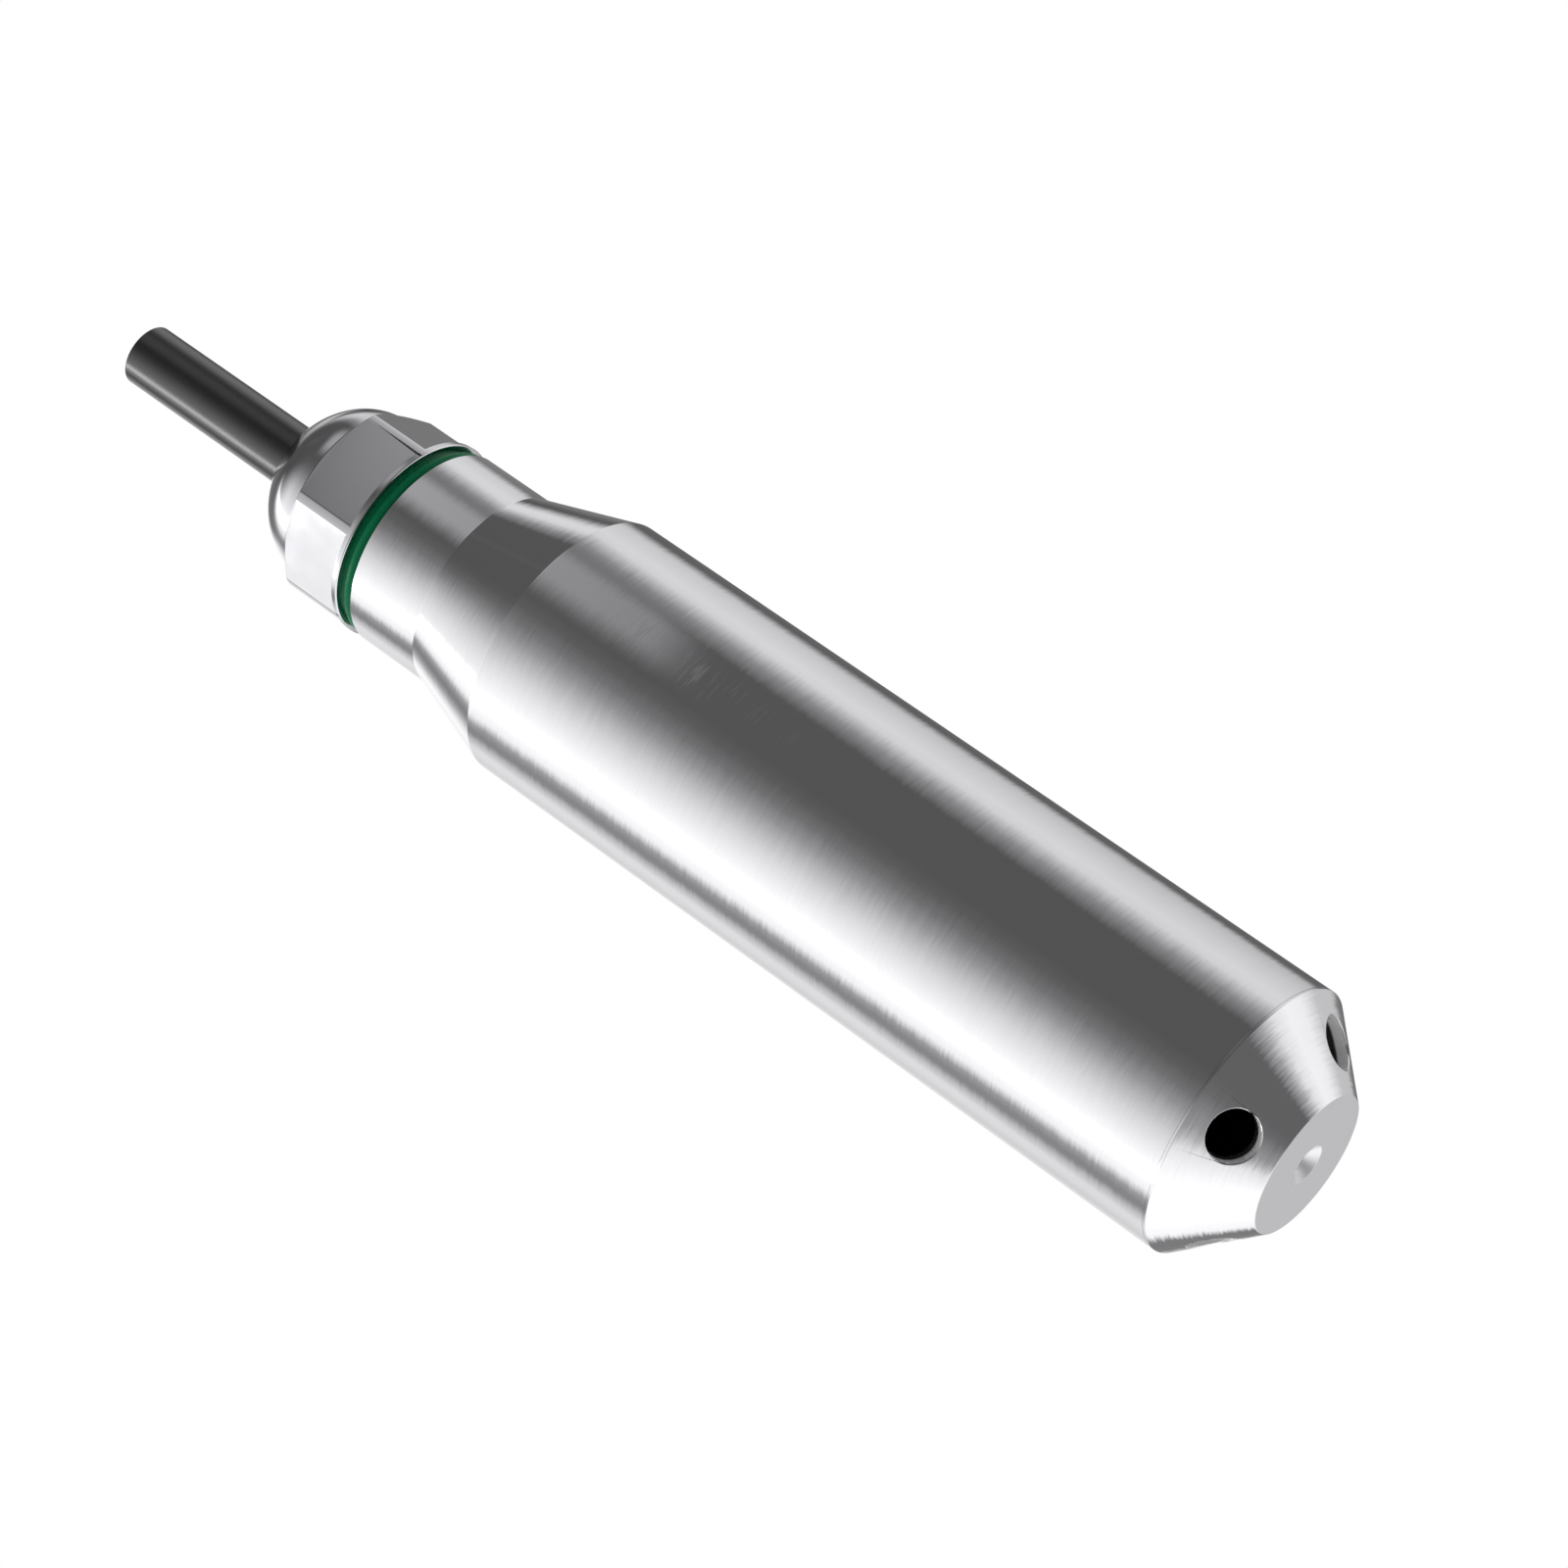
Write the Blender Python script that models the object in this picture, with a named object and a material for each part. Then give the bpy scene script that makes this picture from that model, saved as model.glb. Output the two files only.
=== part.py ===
"""Submersible level transmitter, 28 mm across, as it hangs in a well: nose down, cable up.

Metres, +Z up. The origin is the centre of the flat on the nose, and +Z runs up the axis
of the probe to the cable. Run it with: blender --background --python part.py
"""

import math

import bmesh
import bpy
from mathutils import Matrix, Vector

# Gap between pieces that touch, and between parts that slide
FIT = 0.0003

# Facets of a turned surface: outer metal, pieces inside, cords and pins
OUTER_STEPS = 56
INNER_STEPS = 28
FINE_STEPS = 12
SHARP_ANGLE = math.radians(28)

# Housing: tube, shoulder cone and neck are turned in one piece
PROBE_RADIUS = 0.0140
TUBE_LENGTH = 0.0827
SHOULDER_HEIGHT = 0.0106
NECK_RADIUS = 0.01065
NECK_HEIGHT = 0.0085
NECK_CHAMFER = 0.0003
TUBE_WALL = 0.0020
SHOULDER_WALL = 0.0030
SENSOR_STEP = 0.0008
BORE_LEAD_IN = 0.0004

# Nose cap, with its ports drilled square to the cone
NOSE_FLAT_RADIUS = 0.00735
NOSE_HEIGHT = 0.0070
NOSE_WALL = 0.0021
CENTRE_PORT_RADIUS = 0.00205
CENTRE_BORE_RADIUS = 0.00105
SIDE_PORT_RADIUS = 0.00255
SIDE_PORTS = 4
SPIGOT_LENGTH = 0.0090
SPIGOT_WALL = 0.0030
CAP_RING_SECTION = 0.0007
CAP_RING_INSET = 0.0042

# Gland: threaded stub on the neck, bush in its mouth, domed hexagon nut over both
THREAD_RADIUS = 0.0080
STUB_LENGTH = 0.0095
STUB_CHAMFER = 0.0006
GLAND_RING_SECTION = 0.00075
BUSH_RADIUS = 0.0055
BUSH_LENGTH = 0.0078
BUSH_TAPER = 0.0015
BUSH_STANDS_PROUD = 0.0010
WASHER_RADIUS = 0.0060
WASHER_THICKNESS = 0.0010
NUT_BLANK_RADIUS = 0.0107
NUT_FLAT_TO_FLAT = 0.0190
NUT_TURN = math.radians(-6.3)
COLLAR_HEIGHT = 0.0006
COLLAR_CHAMFER = 0.0002
HEX_LENGTH = 0.0067
HEX_CHAMFER_ANGLE = math.radians(33)
DOME_RADIUS = 0.0093
DOME_HEIGHT = 0.0070
DOME_SQUARENESS = 1.92
MOUTH_EDGE = 0.0004
MOUTH_CLEARANCE = 0.0004

# Cable, which the photograph shows cut off square
CABLE_RADIUS = 0.00325
CABLE_BEYOND_NUT = 0.0223
JACKET_WALL = 0.0009
BRAID_WALL = 0.0002
BRAID_GAP = 0.00015
CORE_RADIUS = 0.00055
CORE_PITCH_RADIUS = 0.00086
VENT_RADIUS = 0.0006
VENT_BORE_RADIUS = 0.00025
FERRULE_WALL = 0.0012
FERRULE_LENGTH = 0.0045
JACKET_BELOW_POTTING = 0.0006

# Pressure capsule and the carrier that holds it
CARRIER_WALL = 0.0019
CARRIER_LIP = 0.0024
CARRIER_LIP_WIDTH = 0.0024
CARRIER_RING_SECTION = 0.0006
SNAP_RING_THICKNESS = 0.0009
SNAP_RING_SEAT = 0.0010
SNAP_RING_GRIP = 0.0007
SNAP_RING_OPENING = 0.0040
CAPSULE_LENGTH = 0.0062
CAPSULE_RING_SECTION = 0.00055
WELD_RING_WIDTH = 0.0026
WELD_RING_THICKNESS = 0.0007
DIAPHRAGM_THICKNESS = 0.0003
CORRUGATIONS = 3
CORRUGATION_DEPTH = 0.0003
HEADER_RADIUS = 0.0052
HEADER_THICKNESS = 0.0012
PIN_RADIUS = 0.0003
PIN_CIRCLE_RADIUS = 0.0033
PIN_LENGTH = 0.0040
VENT_PIPE_RADIUS = 0.0007
PINS = 4

# Circuit board on its two supports, in an insulating sleeve
SLEEVE_WALL = 0.0005
SLEEVE_LENGTH = 0.0560
LEAD_SPACE = 0.0060
CORE_SPACE = 0.0090
SUPPORT_WIDTH = 0.0026
SUPPORT_THICKNESS = 0.0025
SLOT_DEPTH = 0.0014
SLOT_WALL = 0.0008
BOARD_THICKNESS = 0.0016
POTTING_LENGTH = 0.0065
PART_EDGE = 0.0003

# Parts on the board: (name, width, height, thickness, share of the board's length below it)
BOARD_PARTS_FRONT = (
    ("tantalum_capacitor", 0.0032, 0.0060, 0.0025, 0.22),
    ("amplifier_chip", 0.0039, 0.0049, 0.0014, 0.39),
    ("converter_chip", 0.0070, 0.0070, 0.0014, 0.58),
    ("current_loop_transistor", 0.0064, 0.0058, 0.0022, 0.785),
)
BOARD_PARTS_BACK = (
    ("memory_chip", 0.0039, 0.0049, 0.0014, 0.34),
    ("filter_inductor", 0.0060, 0.0060, 0.0030, 0.53),
)
# Its places are shares too: of the board's length below its middle, and of its width beside it
SURGE_ARRESTER_RADIUS = 0.0020
SURGE_ARRESTER_LENGTH = 0.0060
SURGE_ARRESTER_SHARE = 0.78
SURGE_ARRESTER_SIDE = 0.28
LEAD_RADIUS = 0.0003
LEAD_PAD_SPACING = 0.0030
CORE_PAD_SPACING = 0.0048
WIRE_END_DEPTH = 0.0040
VENT_STANDOFF = 0.0052

# Heights up the axis, from the nose
TUBE_BOTTOM = NOSE_HEIGHT + FIT
TUBE_TOP = TUBE_BOTTOM + TUBE_LENGTH
NECK_BOTTOM = TUBE_TOP + SHOULDER_HEIGHT
NECK_TOP = NECK_BOTTOM + NECK_HEIGHT
STUB_TOP = NECK_TOP + STUB_LENGTH
GLAND_RING_HEIGHT = NECK_TOP + FIT + GLAND_RING_SECTION
NUT_BOTTOM = GLAND_RING_HEIGHT + GLAND_RING_SECTION + FIT
BUSH_TOP = STUB_TOP + BUSH_STANDS_PROUD
BUSH_BOTTOM = BUSH_TOP - BUSH_LENGTH
WASHER_BOTTOM = BUSH_TOP + FIT
SPIGOT_TOP = NOSE_HEIGHT + SPIGOT_LENGTH
CAP_RING_HEIGHT = NOSE_HEIGHT + CAP_RING_INSET
CARRIER_BOTTOM = SPIGOT_TOP + FIT
SNAP_RING_BOTTOM = CARRIER_BOTTOM + SNAP_RING_SEAT
WELD_RING_BOTTOM = SNAP_RING_BOTTOM + SNAP_RING_THICKNESS + FIT
DIAPHRAGM_BOTTOM = WELD_RING_BOTTOM + WELD_RING_THICKNESS + FIT
CAPSULE_BOTTOM = DIAPHRAGM_BOTTOM + DIAPHRAGM_THICKNESS + FIT
CAPSULE_TOP = CAPSULE_BOTTOM + CAPSULE_LENGTH
LIP_BOTTOM = CAPSULE_TOP + FIT
CARRIER_TOP = LIP_BOTTOM + CARRIER_LIP
STEP_HEIGHT = CARRIER_TOP + FIT
SLEEVE_BOTTOM = STEP_HEIGHT + FIT
SLEEVE_TOP = SLEEVE_BOTTOM + SLEEVE_LENGTH
FRONT_SUPPORT_BOTTOM = SLEEVE_BOTTOM + LEAD_SPACE
REAR_SUPPORT_BOTTOM = SLEEVE_TOP - CORE_SPACE - SUPPORT_THICKNESS
BOARD_BOTTOM = FRONT_SUPPORT_BOTTOM + SUPPORT_THICKNESS - SLOT_DEPTH + FIT
BOARD_TOP = REAR_SUPPORT_BOTTOM + SLOT_DEPTH - FIT
POTTING_BOTTOM = SLEEVE_TOP + FIT
POTTING_TOP = POTTING_BOTTOM + POTTING_LENGTH
JACKET_BOTTOM = POTTING_BOTTOM - JACKET_BELOW_POTTING
FERRULE_BOTTOM = POTTING_TOP + FIT
FERRULE_TOP = FERRULE_BOTTOM + FERRULE_LENGTH
ROOF_HEIGHT = FERRULE_TOP + FIT
HEADER_BOTTOM = CAPSULE_TOP - HEADER_THICKNESS

# Radii that follow from the ones above
BORE_RADIUS = PROBE_RADIUS - TUBE_WALL
SPIGOT_RADIUS = BORE_RADIUS - FIT
CHAMBER_RADIUS = SPIGOT_RADIUS - SPIGOT_WALL
INNER_BORE_RADIUS = BORE_RADIUS - SENSOR_STEP
PASSAGE_RADIUS = CABLE_RADIUS + FIT
BUSH_BORE_RADIUS = BUSH_RADIUS + FIT
NUT_THREAD_RADIUS = THREAD_RADIUS + FIT
POCKET_RADIUS = WASHER_RADIUS + FIT
MOUTH_RADIUS = CABLE_RADIUS + MOUTH_CLEARANCE
GLAND_RING_RADIUS = NECK_RADIUS - GLAND_RING_SECTION
CAP_RING_RADIUS = BORE_RADIUS - FIT - CAP_RING_SECTION
CARRIER_RADIUS = BORE_RADIUS - FIT
CAPSULE_POCKET_RADIUS = CARRIER_RADIUS - CARRIER_WALL
CAPSULE_RADIUS = CAPSULE_POCKET_RADIUS - FIT
SLEEVE_RADIUS = INNER_BORE_RADIUS - FIT
SUPPORT_RADIUS = SLEEVE_RADIUS - SLEEVE_WALL - FIT
BOARD_WIDTH = 2 * (SUPPORT_RADIUS - SLOT_WALL - FIT)
BRAID_RADIUS = CABLE_RADIUS - JACKET_WALL - BRAID_GAP
NOSE_SLOPE = (PROBE_RADIUS - NOSE_FLAT_RADIUS) / NOSE_HEIGHT
CONE_RUN = math.hypot(PROBE_RADIUS - NOSE_FLAT_RADIUS, NOSE_HEIGHT)

# How much of a wire's straight run lies clear of its bend
STRAIGHT_SHARE = 0.9

MERGE = 1e-7


def finish(name, colour, metallic, roughness):
    """A Principled material."""
    made = bpy.data.materials.new(name)
    made.use_nodes = True
    shader = made.node_tree.nodes["Principled BSDF"]
    shader.inputs["Base Color"].default_value = (*colour, 1.0)
    shader.inputs["Metallic"].default_value = metallic
    shader.inputs["Roughness"].default_value = roughness
    made.diffuse_color = (*colour, 1.0)
    return made


def add(name, shape, look, carrier, height=0.0):
    """Puts a bmesh into the scene as an object, at a height up the carrier's own frame."""
    bmesh.ops.recalc_face_normals(shape, faces=shape.faces)
    mesh = bpy.data.meshes.new(name)
    shape.to_mesh(mesh)
    shape.free()
    mesh.materials.append(look)
    mesh.shade_smooth()
    mesh.set_sharp_from_angle(angle=SHARP_ANGLE)
    made = bpy.data.objects.new(name, mesh)
    bpy.context.collection.objects.link(made)
    made.parent = carrier
    made.location.z = height - carrier.location.z
    return made


def axis_point(name, height):
    """An empty on the probe's axis, which carries the pieces that move together."""
    made = bpy.data.objects.new(name, None)
    made.empty_display_size = PROBE_RADIUS
    made.location.z = height
    bpy.context.collection.objects.link(made)
    return made


def turned(outline, steps):
    """A closed solid, turned round Z from the (radius, height) corners of its section."""
    shape = bmesh.new()
    corners = [shape.verts.new((radius, 0.0, height)) for radius, height in outline]
    pairs = zip(corners, corners[1:] + corners[:1])
    sides = [shape.edges.new(pair) for pair in pairs if max(pair[0].co.x, pair[1].co.x) > 0]
    bmesh.ops.spin(
        shape, geom=sides, cent=(0, 0, 0), axis=(0, 0, 1), angle=math.tau, steps=steps, use_merge=True
    )
    bmesh.ops.remove_doubles(shape, verts=shape.verts, dist=MERGE)
    return shape


def tube_section(inner, outer, length):
    """The section of a plain ring, from height 0 up."""
    return [(outer, 0.0), (outer, length), (inner, length), (inner, 0.0)]


def round_section(centre_radius, section_radius, steps=6):
    """The section of a ring of round cord, centred at height 0."""
    angles = [math.tau * step / steps for step in range(steps)]
    return [
        (centre_radius + section_radius * math.cos(a), section_radius * math.sin(a)) for a in angles
    ]


def block(width, depth, height, base=0.0):
    """A box centred on the axis, standing on the height given."""
    shape = bmesh.new()
    bmesh.ops.create_cube(shape, size=1.0)
    bmesh.ops.scale(shape, vec=(width, depth, height), verts=shape.verts)
    bmesh.ops.translate(shape, vec=(0, 0, base + height / 2), verts=shape.verts)
    return shape


def bevelled_block(width, depth, height, edge):
    """A box on its own middle, with its edges broken."""
    shape = block(width, depth, height, base=-height / 2)
    bmesh.ops.bevel(shape, geom=shape.edges[:], offset=edge, segments=1, affect="EDGES")
    return shape


def cut(piece, shape, height=0.0):
    """Cuts a shape, placed in the piece's own frame, out of the piece."""
    bmesh.ops.recalc_face_normals(shape, faces=shape.faces)
    mesh = bpy.data.meshes.new(piece.name + "_cutter")
    shape.to_mesh(mesh)
    shape.free()
    cutter = bpy.data.objects.new(mesh.name, mesh)
    bpy.context.collection.objects.link(cutter)
    cutter.parent = piece
    cutter.location.z = height
    cutter.display_type = "WIRE"
    cutter.hide_render = True
    modifier = piece.modifiers.new("cut", "BOOLEAN")
    modifier.operation = "DIFFERENCE"
    modifier.object = cutter


def bent_run(start, bend_start, bend_end, end, steps=4):
    """Points along a straight run, a smooth bend and another straight run."""
    reach = (bend_end - bend_start).length
    leave = (bend_start - start).normalized() * reach
    arrive = (end - bend_end).normalized() * reach
    route = [start, start.lerp(bend_start, STRAIGHT_SHARE)]
    for step in range(steps + 1):
        t = step / steps
        route.append(
            bend_start * (2 * t**3 - 3 * t**2 + 1)
            + leave * (t**3 - 2 * t**2 + t)
            + bend_end * (3 * t**2 - 2 * t**3)
            + arrive * (t**3 - t**2)
        )
    return route + [end.lerp(bend_end, STRAIGHT_SHARE), end]


def wire(name, points, radius, look, carrier):
    """A round wire along the points, with closed ends."""
    line = bpy.data.curves.new(name, "CURVE")
    line.dimensions = "3D"
    line.bevel_depth = radius
    line.bevel_resolution = 2
    line.use_fill_caps = True
    line.materials.append(look)
    spline = line.splines.new("POLY")
    spline.points.add(len(points) - 1)
    for target, point in zip(spline.points, points):
        target.co = (*point, 1.0)
    made = bpy.data.objects.new(name, line)
    bpy.context.collection.objects.link(made)
    made.parent = carrier
    return made


def side_port(azimuth):
    """A drill, square to the nose cone at the middle of its slant, that ends inside the chamber."""
    reach = NOSE_WALL + 2 * SIDE_PORT_RADIUS
    clear = SIDE_PORT_RADIUS
    shape = turned(tube_section(0.0, SIDE_PORT_RADIUS, reach + clear), INNER_STEPS)
    lean = math.atan2(PROBE_RADIUS - NOSE_FLAT_RADIUS, NOSE_HEIGHT)
    middle = Vector(((PROBE_RADIUS + NOSE_FLAT_RADIUS) / 2, 0, NOSE_HEIGHT / 2))
    inward = Vector((-math.cos(lean), 0, math.sin(lean)))
    place = (
        Matrix.Rotation(azimuth, 4, "Z")
        @ Matrix.Translation(middle - inward * clear)
        @ inward.to_track_quat("Z", "Y").to_matrix().to_4x4()
    )
    bmesh.ops.transform(shape, matrix=place, verts=shape.verts)
    return shape


def nose_cap(look, carrier):
    """Cone, flat and threaded spigot in one piece, hollow behind the ports."""
    chamber_start = NOSE_FLAT_RADIUS + NOSE_SLOPE * NOSE_WALL - NOSE_WALL * CONE_RUN / NOSE_HEIGHT
    chamber_corner = NOSE_WALL + (CHAMBER_RADIUS - chamber_start) / NOSE_SLOPE
    groove_floor = CAP_RING_RADIUS - CAP_RING_SECTION - FIT
    groove_half = CAP_RING_SECTION + FIT
    outline = [
        (CENTRE_BORE_RADIUS, CENTRE_PORT_RADIUS - CENTRE_BORE_RADIUS),
        (CENTRE_PORT_RADIUS, 0.0),
        (NOSE_FLAT_RADIUS, 0.0),
        (PROBE_RADIUS, NOSE_HEIGHT),
        (SPIGOT_RADIUS, NOSE_HEIGHT),
        (SPIGOT_RADIUS, CAP_RING_HEIGHT - groove_half),
        (groove_floor, CAP_RING_HEIGHT - groove_half),
        (groove_floor, CAP_RING_HEIGHT + groove_half),
        (SPIGOT_RADIUS, CAP_RING_HEIGHT + groove_half),
        (SPIGOT_RADIUS, SPIGOT_TOP - BORE_LEAD_IN),
        (SPIGOT_RADIUS - BORE_LEAD_IN, SPIGOT_TOP),
        (CHAMBER_RADIUS, SPIGOT_TOP),
        (CHAMBER_RADIUS, chamber_corner),
        (chamber_start, NOSE_WALL),
        (CENTRE_BORE_RADIUS, NOSE_WALL),
    ]
    piece = add("nose_cap", turned(outline, OUTER_STEPS), look, carrier, 0.0)
    for port in range(SIDE_PORTS):
        cut(piece, side_port(math.tau * port / SIDE_PORTS))


def housing(look, carrier):
    """Tube, shoulder cone, neck and threaded stub, bored from both ends."""
    slope = (PROBE_RADIUS - NECK_RADIUS) / SHOULDER_HEIGHT
    roof_edge = PROBE_RADIUS - slope * (ROOF_HEIGHT - TUBE_TOP) - SHOULDER_WALL
    seat_bottom = BUSH_BOTTOM - FIT
    outline = [
        (BORE_RADIUS + BORE_LEAD_IN, TUBE_BOTTOM),
        (PROBE_RADIUS, TUBE_BOTTOM),
        (PROBE_RADIUS, TUBE_TOP),
        (NECK_RADIUS, NECK_BOTTOM),
        (NECK_RADIUS, NECK_TOP - NECK_CHAMFER),
        (NECK_RADIUS - NECK_CHAMFER, NECK_TOP),
        (THREAD_RADIUS, NECK_TOP),
        (THREAD_RADIUS, STUB_TOP - STUB_CHAMFER),
        (THREAD_RADIUS - STUB_CHAMFER, STUB_TOP),
        (BUSH_BORE_RADIUS, STUB_TOP),
        (BUSH_BORE_RADIUS, seat_bottom + BUSH_TAPER),
        (BUSH_BORE_RADIUS - BUSH_TAPER, seat_bottom),
        (PASSAGE_RADIUS, seat_bottom),
        (PASSAGE_RADIUS, ROOF_HEIGHT),
        (roof_edge, ROOF_HEIGHT),
        (INNER_BORE_RADIUS, POTTING_TOP),
        (INNER_BORE_RADIUS, STEP_HEIGHT),
        (BORE_RADIUS, STEP_HEIGHT),
        (BORE_RADIUS, TUBE_BOTTOM + BORE_LEAD_IN),
    ]
    add("housing", turned(outline, OUTER_STEPS), look, carrier)


def dome_outline():
    """The nut's rounded end as a quarter of a near-ellipse, from its foot up to the mouth."""
    lip_radius = MOUTH_RADIUS + MOUTH_EDGE
    lip_reach = lip_radius / DOME_RADIUS
    whole_height = DOME_HEIGHT / (1 - lip_reach**DOME_SQUARENESS) ** (1 / DOME_SQUARENESS)
    points = []
    steps = 7
    for step in range(steps + 1):
        angle = math.pi / 2 * step / steps
        reach = math.cos(angle) ** (2 / DOME_SQUARENESS) if step < steps else 0.0
        rise = math.sin(angle) ** (2 / DOME_SQUARENESS)
        if reach > lip_reach:
            points.append((DOME_RADIUS * reach, whole_height * rise))
    return points + [(lip_radius, DOME_HEIGHT)]


def gland_nut(look, carrier):
    """Round blank with a collar and a dome, milled to six flats between them."""
    apothem = NUT_FLAT_TO_FLAT / 2
    hex_top = COLLAR_HEIGHT + HEX_LENGTH
    dome_foot = hex_top + (NUT_BLANK_RADIUS - DOME_RADIUS) * math.tan(HEX_CHAMFER_ANGLE)
    pocket_floor = STUB_TOP + FIT - NUT_BOTTOM
    pocket_roof = WASHER_BOTTOM + WASHER_THICKNESS + FIT - NUT_BOTTOM
    top = dome_foot + DOME_HEIGHT
    outline = [
        (NUT_THREAD_RADIUS, 0.0),
        (NUT_BLANK_RADIUS - COLLAR_CHAMFER, 0.0),
        (NUT_BLANK_RADIUS, COLLAR_CHAMFER),
        (NUT_BLANK_RADIUS, hex_top),
        *[(radius, dome_foot + rise) for radius, rise in dome_outline()],
        (MOUTH_RADIUS, top - MOUTH_EDGE),
        (MOUTH_RADIUS, pocket_roof),
        (POCKET_RADIUS, pocket_roof),
        (POCKET_RADIUS, pocket_floor),
        (NUT_THREAD_RADIUS, pocket_floor),
    ]
    piece = add("gland_nut", turned(outline, OUTER_STEPS), look, carrier, NUT_BOTTOM)
    piece.rotation_euler.z = NUT_TURN
    corner = apothem / math.cos(math.pi / 6)
    flats = tube_section(corner, corner + NUT_BLANK_RADIUS, dome_foot + DOME_HEIGHT - COLLAR_HEIGHT)
    cut(piece, turned(flats, 6), COLLAR_HEIGHT)
    return NUT_BOTTOM + top


def gland_inside(rubber, green, steel, probe, washer_point):
    """The O-ring under the nut, the bush that grips the cable and the washer that presses it."""
    ring = round_section(GLAND_RING_RADIUS, GLAND_RING_SECTION, 8)
    add("gland_o_ring", turned(ring, OUTER_STEPS), green, probe, GLAND_RING_HEIGHT)
    bush = [
        (BUSH_RADIUS - BUSH_TAPER, 0.0),
        (BUSH_RADIUS, BUSH_TAPER),
        (BUSH_RADIUS, BUSH_LENGTH),
        (PASSAGE_RADIUS, BUSH_LENGTH),
        (PASSAGE_RADIUS, 0.0),
    ]
    add("compression_bush", turned(bush, INNER_STEPS), rubber, probe, BUSH_BOTTOM)
    washer = tube_section(PASSAGE_RADIUS, WASHER_RADIUS, WASHER_THICKNESS)
    add("thrust_washer", turned(washer, INNER_STEPS), steel, washer_point, WASHER_BOTTOM)


def cable(looks, probe, top):
    """Jacket, braid, two cores and the vent tube, whole from the cut end to the board."""
    length = top - JACKET_BOTTOM
    jacket = tube_section(CABLE_RADIUS - JACKET_WALL, CABLE_RADIUS, length)
    add("cable_jacket", turned(jacket, INNER_STEPS), looks["jacket"], probe, JACKET_BOTTOM)
    braid = tube_section(BRAID_RADIUS - BRAID_WALL, BRAID_RADIUS, length)
    add("cable_braid", turned(braid, 2 * FINE_STEPS), looks["tinned"], probe, JACKET_BOTTOM)
    ferrule = tube_section(PASSAGE_RADIUS, PASSAGE_RADIUS + FERRULE_WALL, FERRULE_LENGTH)
    add("strain_relief_ferrule", turned(ferrule, INNER_STEPS), looks["brass"], probe, FERRULE_BOTTOM)
    potting = tube_section(PASSAGE_RADIUS, INNER_BORE_RADIUS - FIT, POTTING_LENGTH)
    add("potting_plug", turned(potting, INNER_STEPS), looks["resin"], probe, POTTING_BOTTOM)
    pad_height = BOARD_TOP - WIRE_END_DEPTH
    pad_face = BOARD_THICKNESS / 2 + FIT + CORE_RADIUS
    for name, look, turn, side in (("core_plus", "red", 30, 1), ("core_minus", "blue", 150, -1)):
        angle = math.radians(turn)
        inside = CORE_PITCH_RADIUS * Vector((math.cos(angle), math.sin(angle), 0))
        outside = Vector((side * CORE_PAD_SPACING / 2, pad_face, 0))
        route = bent_run(
            inside + Vector((0, 0, top)),
            inside + Vector((0, 0, JACKET_BOTTOM - CORE_RADIUS)),
            outside + Vector((0, 0, BOARD_TOP + CORE_RADIUS)),
            outside + Vector((0, 0, pad_height)),
        )
        wire(name, route, CORE_RADIUS, looks[look], probe)
    return top


def vent_tube(look, probe, top):
    """The capillary that lets the well's air pressure down to the back of the capsule."""
    inside = Vector((0, -CORE_PITCH_RADIUS, 0))
    beside = Vector((0, -VENT_STANDOFF, 0))
    pipe_top = Vector((0, 0, CAPSULE_TOP + PIN_LENGTH / 2))
    cable_top = inside + Vector((0, 0, top))
    jacket_end = inside + Vector((0, 0, JACKET_BOTTOM - VENT_RADIUS))
    board_top = beside + Vector((0, 0, BOARD_TOP + VENT_RADIUS))
    board_foot = beside + Vector((0, 0, BOARD_BOTTOM - VENT_RADIUS))
    pipe_end = pipe_top + Vector((0, 0, FIT))
    pipe_run = pipe_top + Vector((0, 0, 3 * VENT_RADIUS))
    upper = bent_run(cable_top, jacket_end, board_top, board_foot)
    lower = bent_run(board_top, board_foot, pipe_run, pipe_end)
    wire("vent_tube", upper[:-1] + lower[1:], VENT_RADIUS, look, probe)


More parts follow.
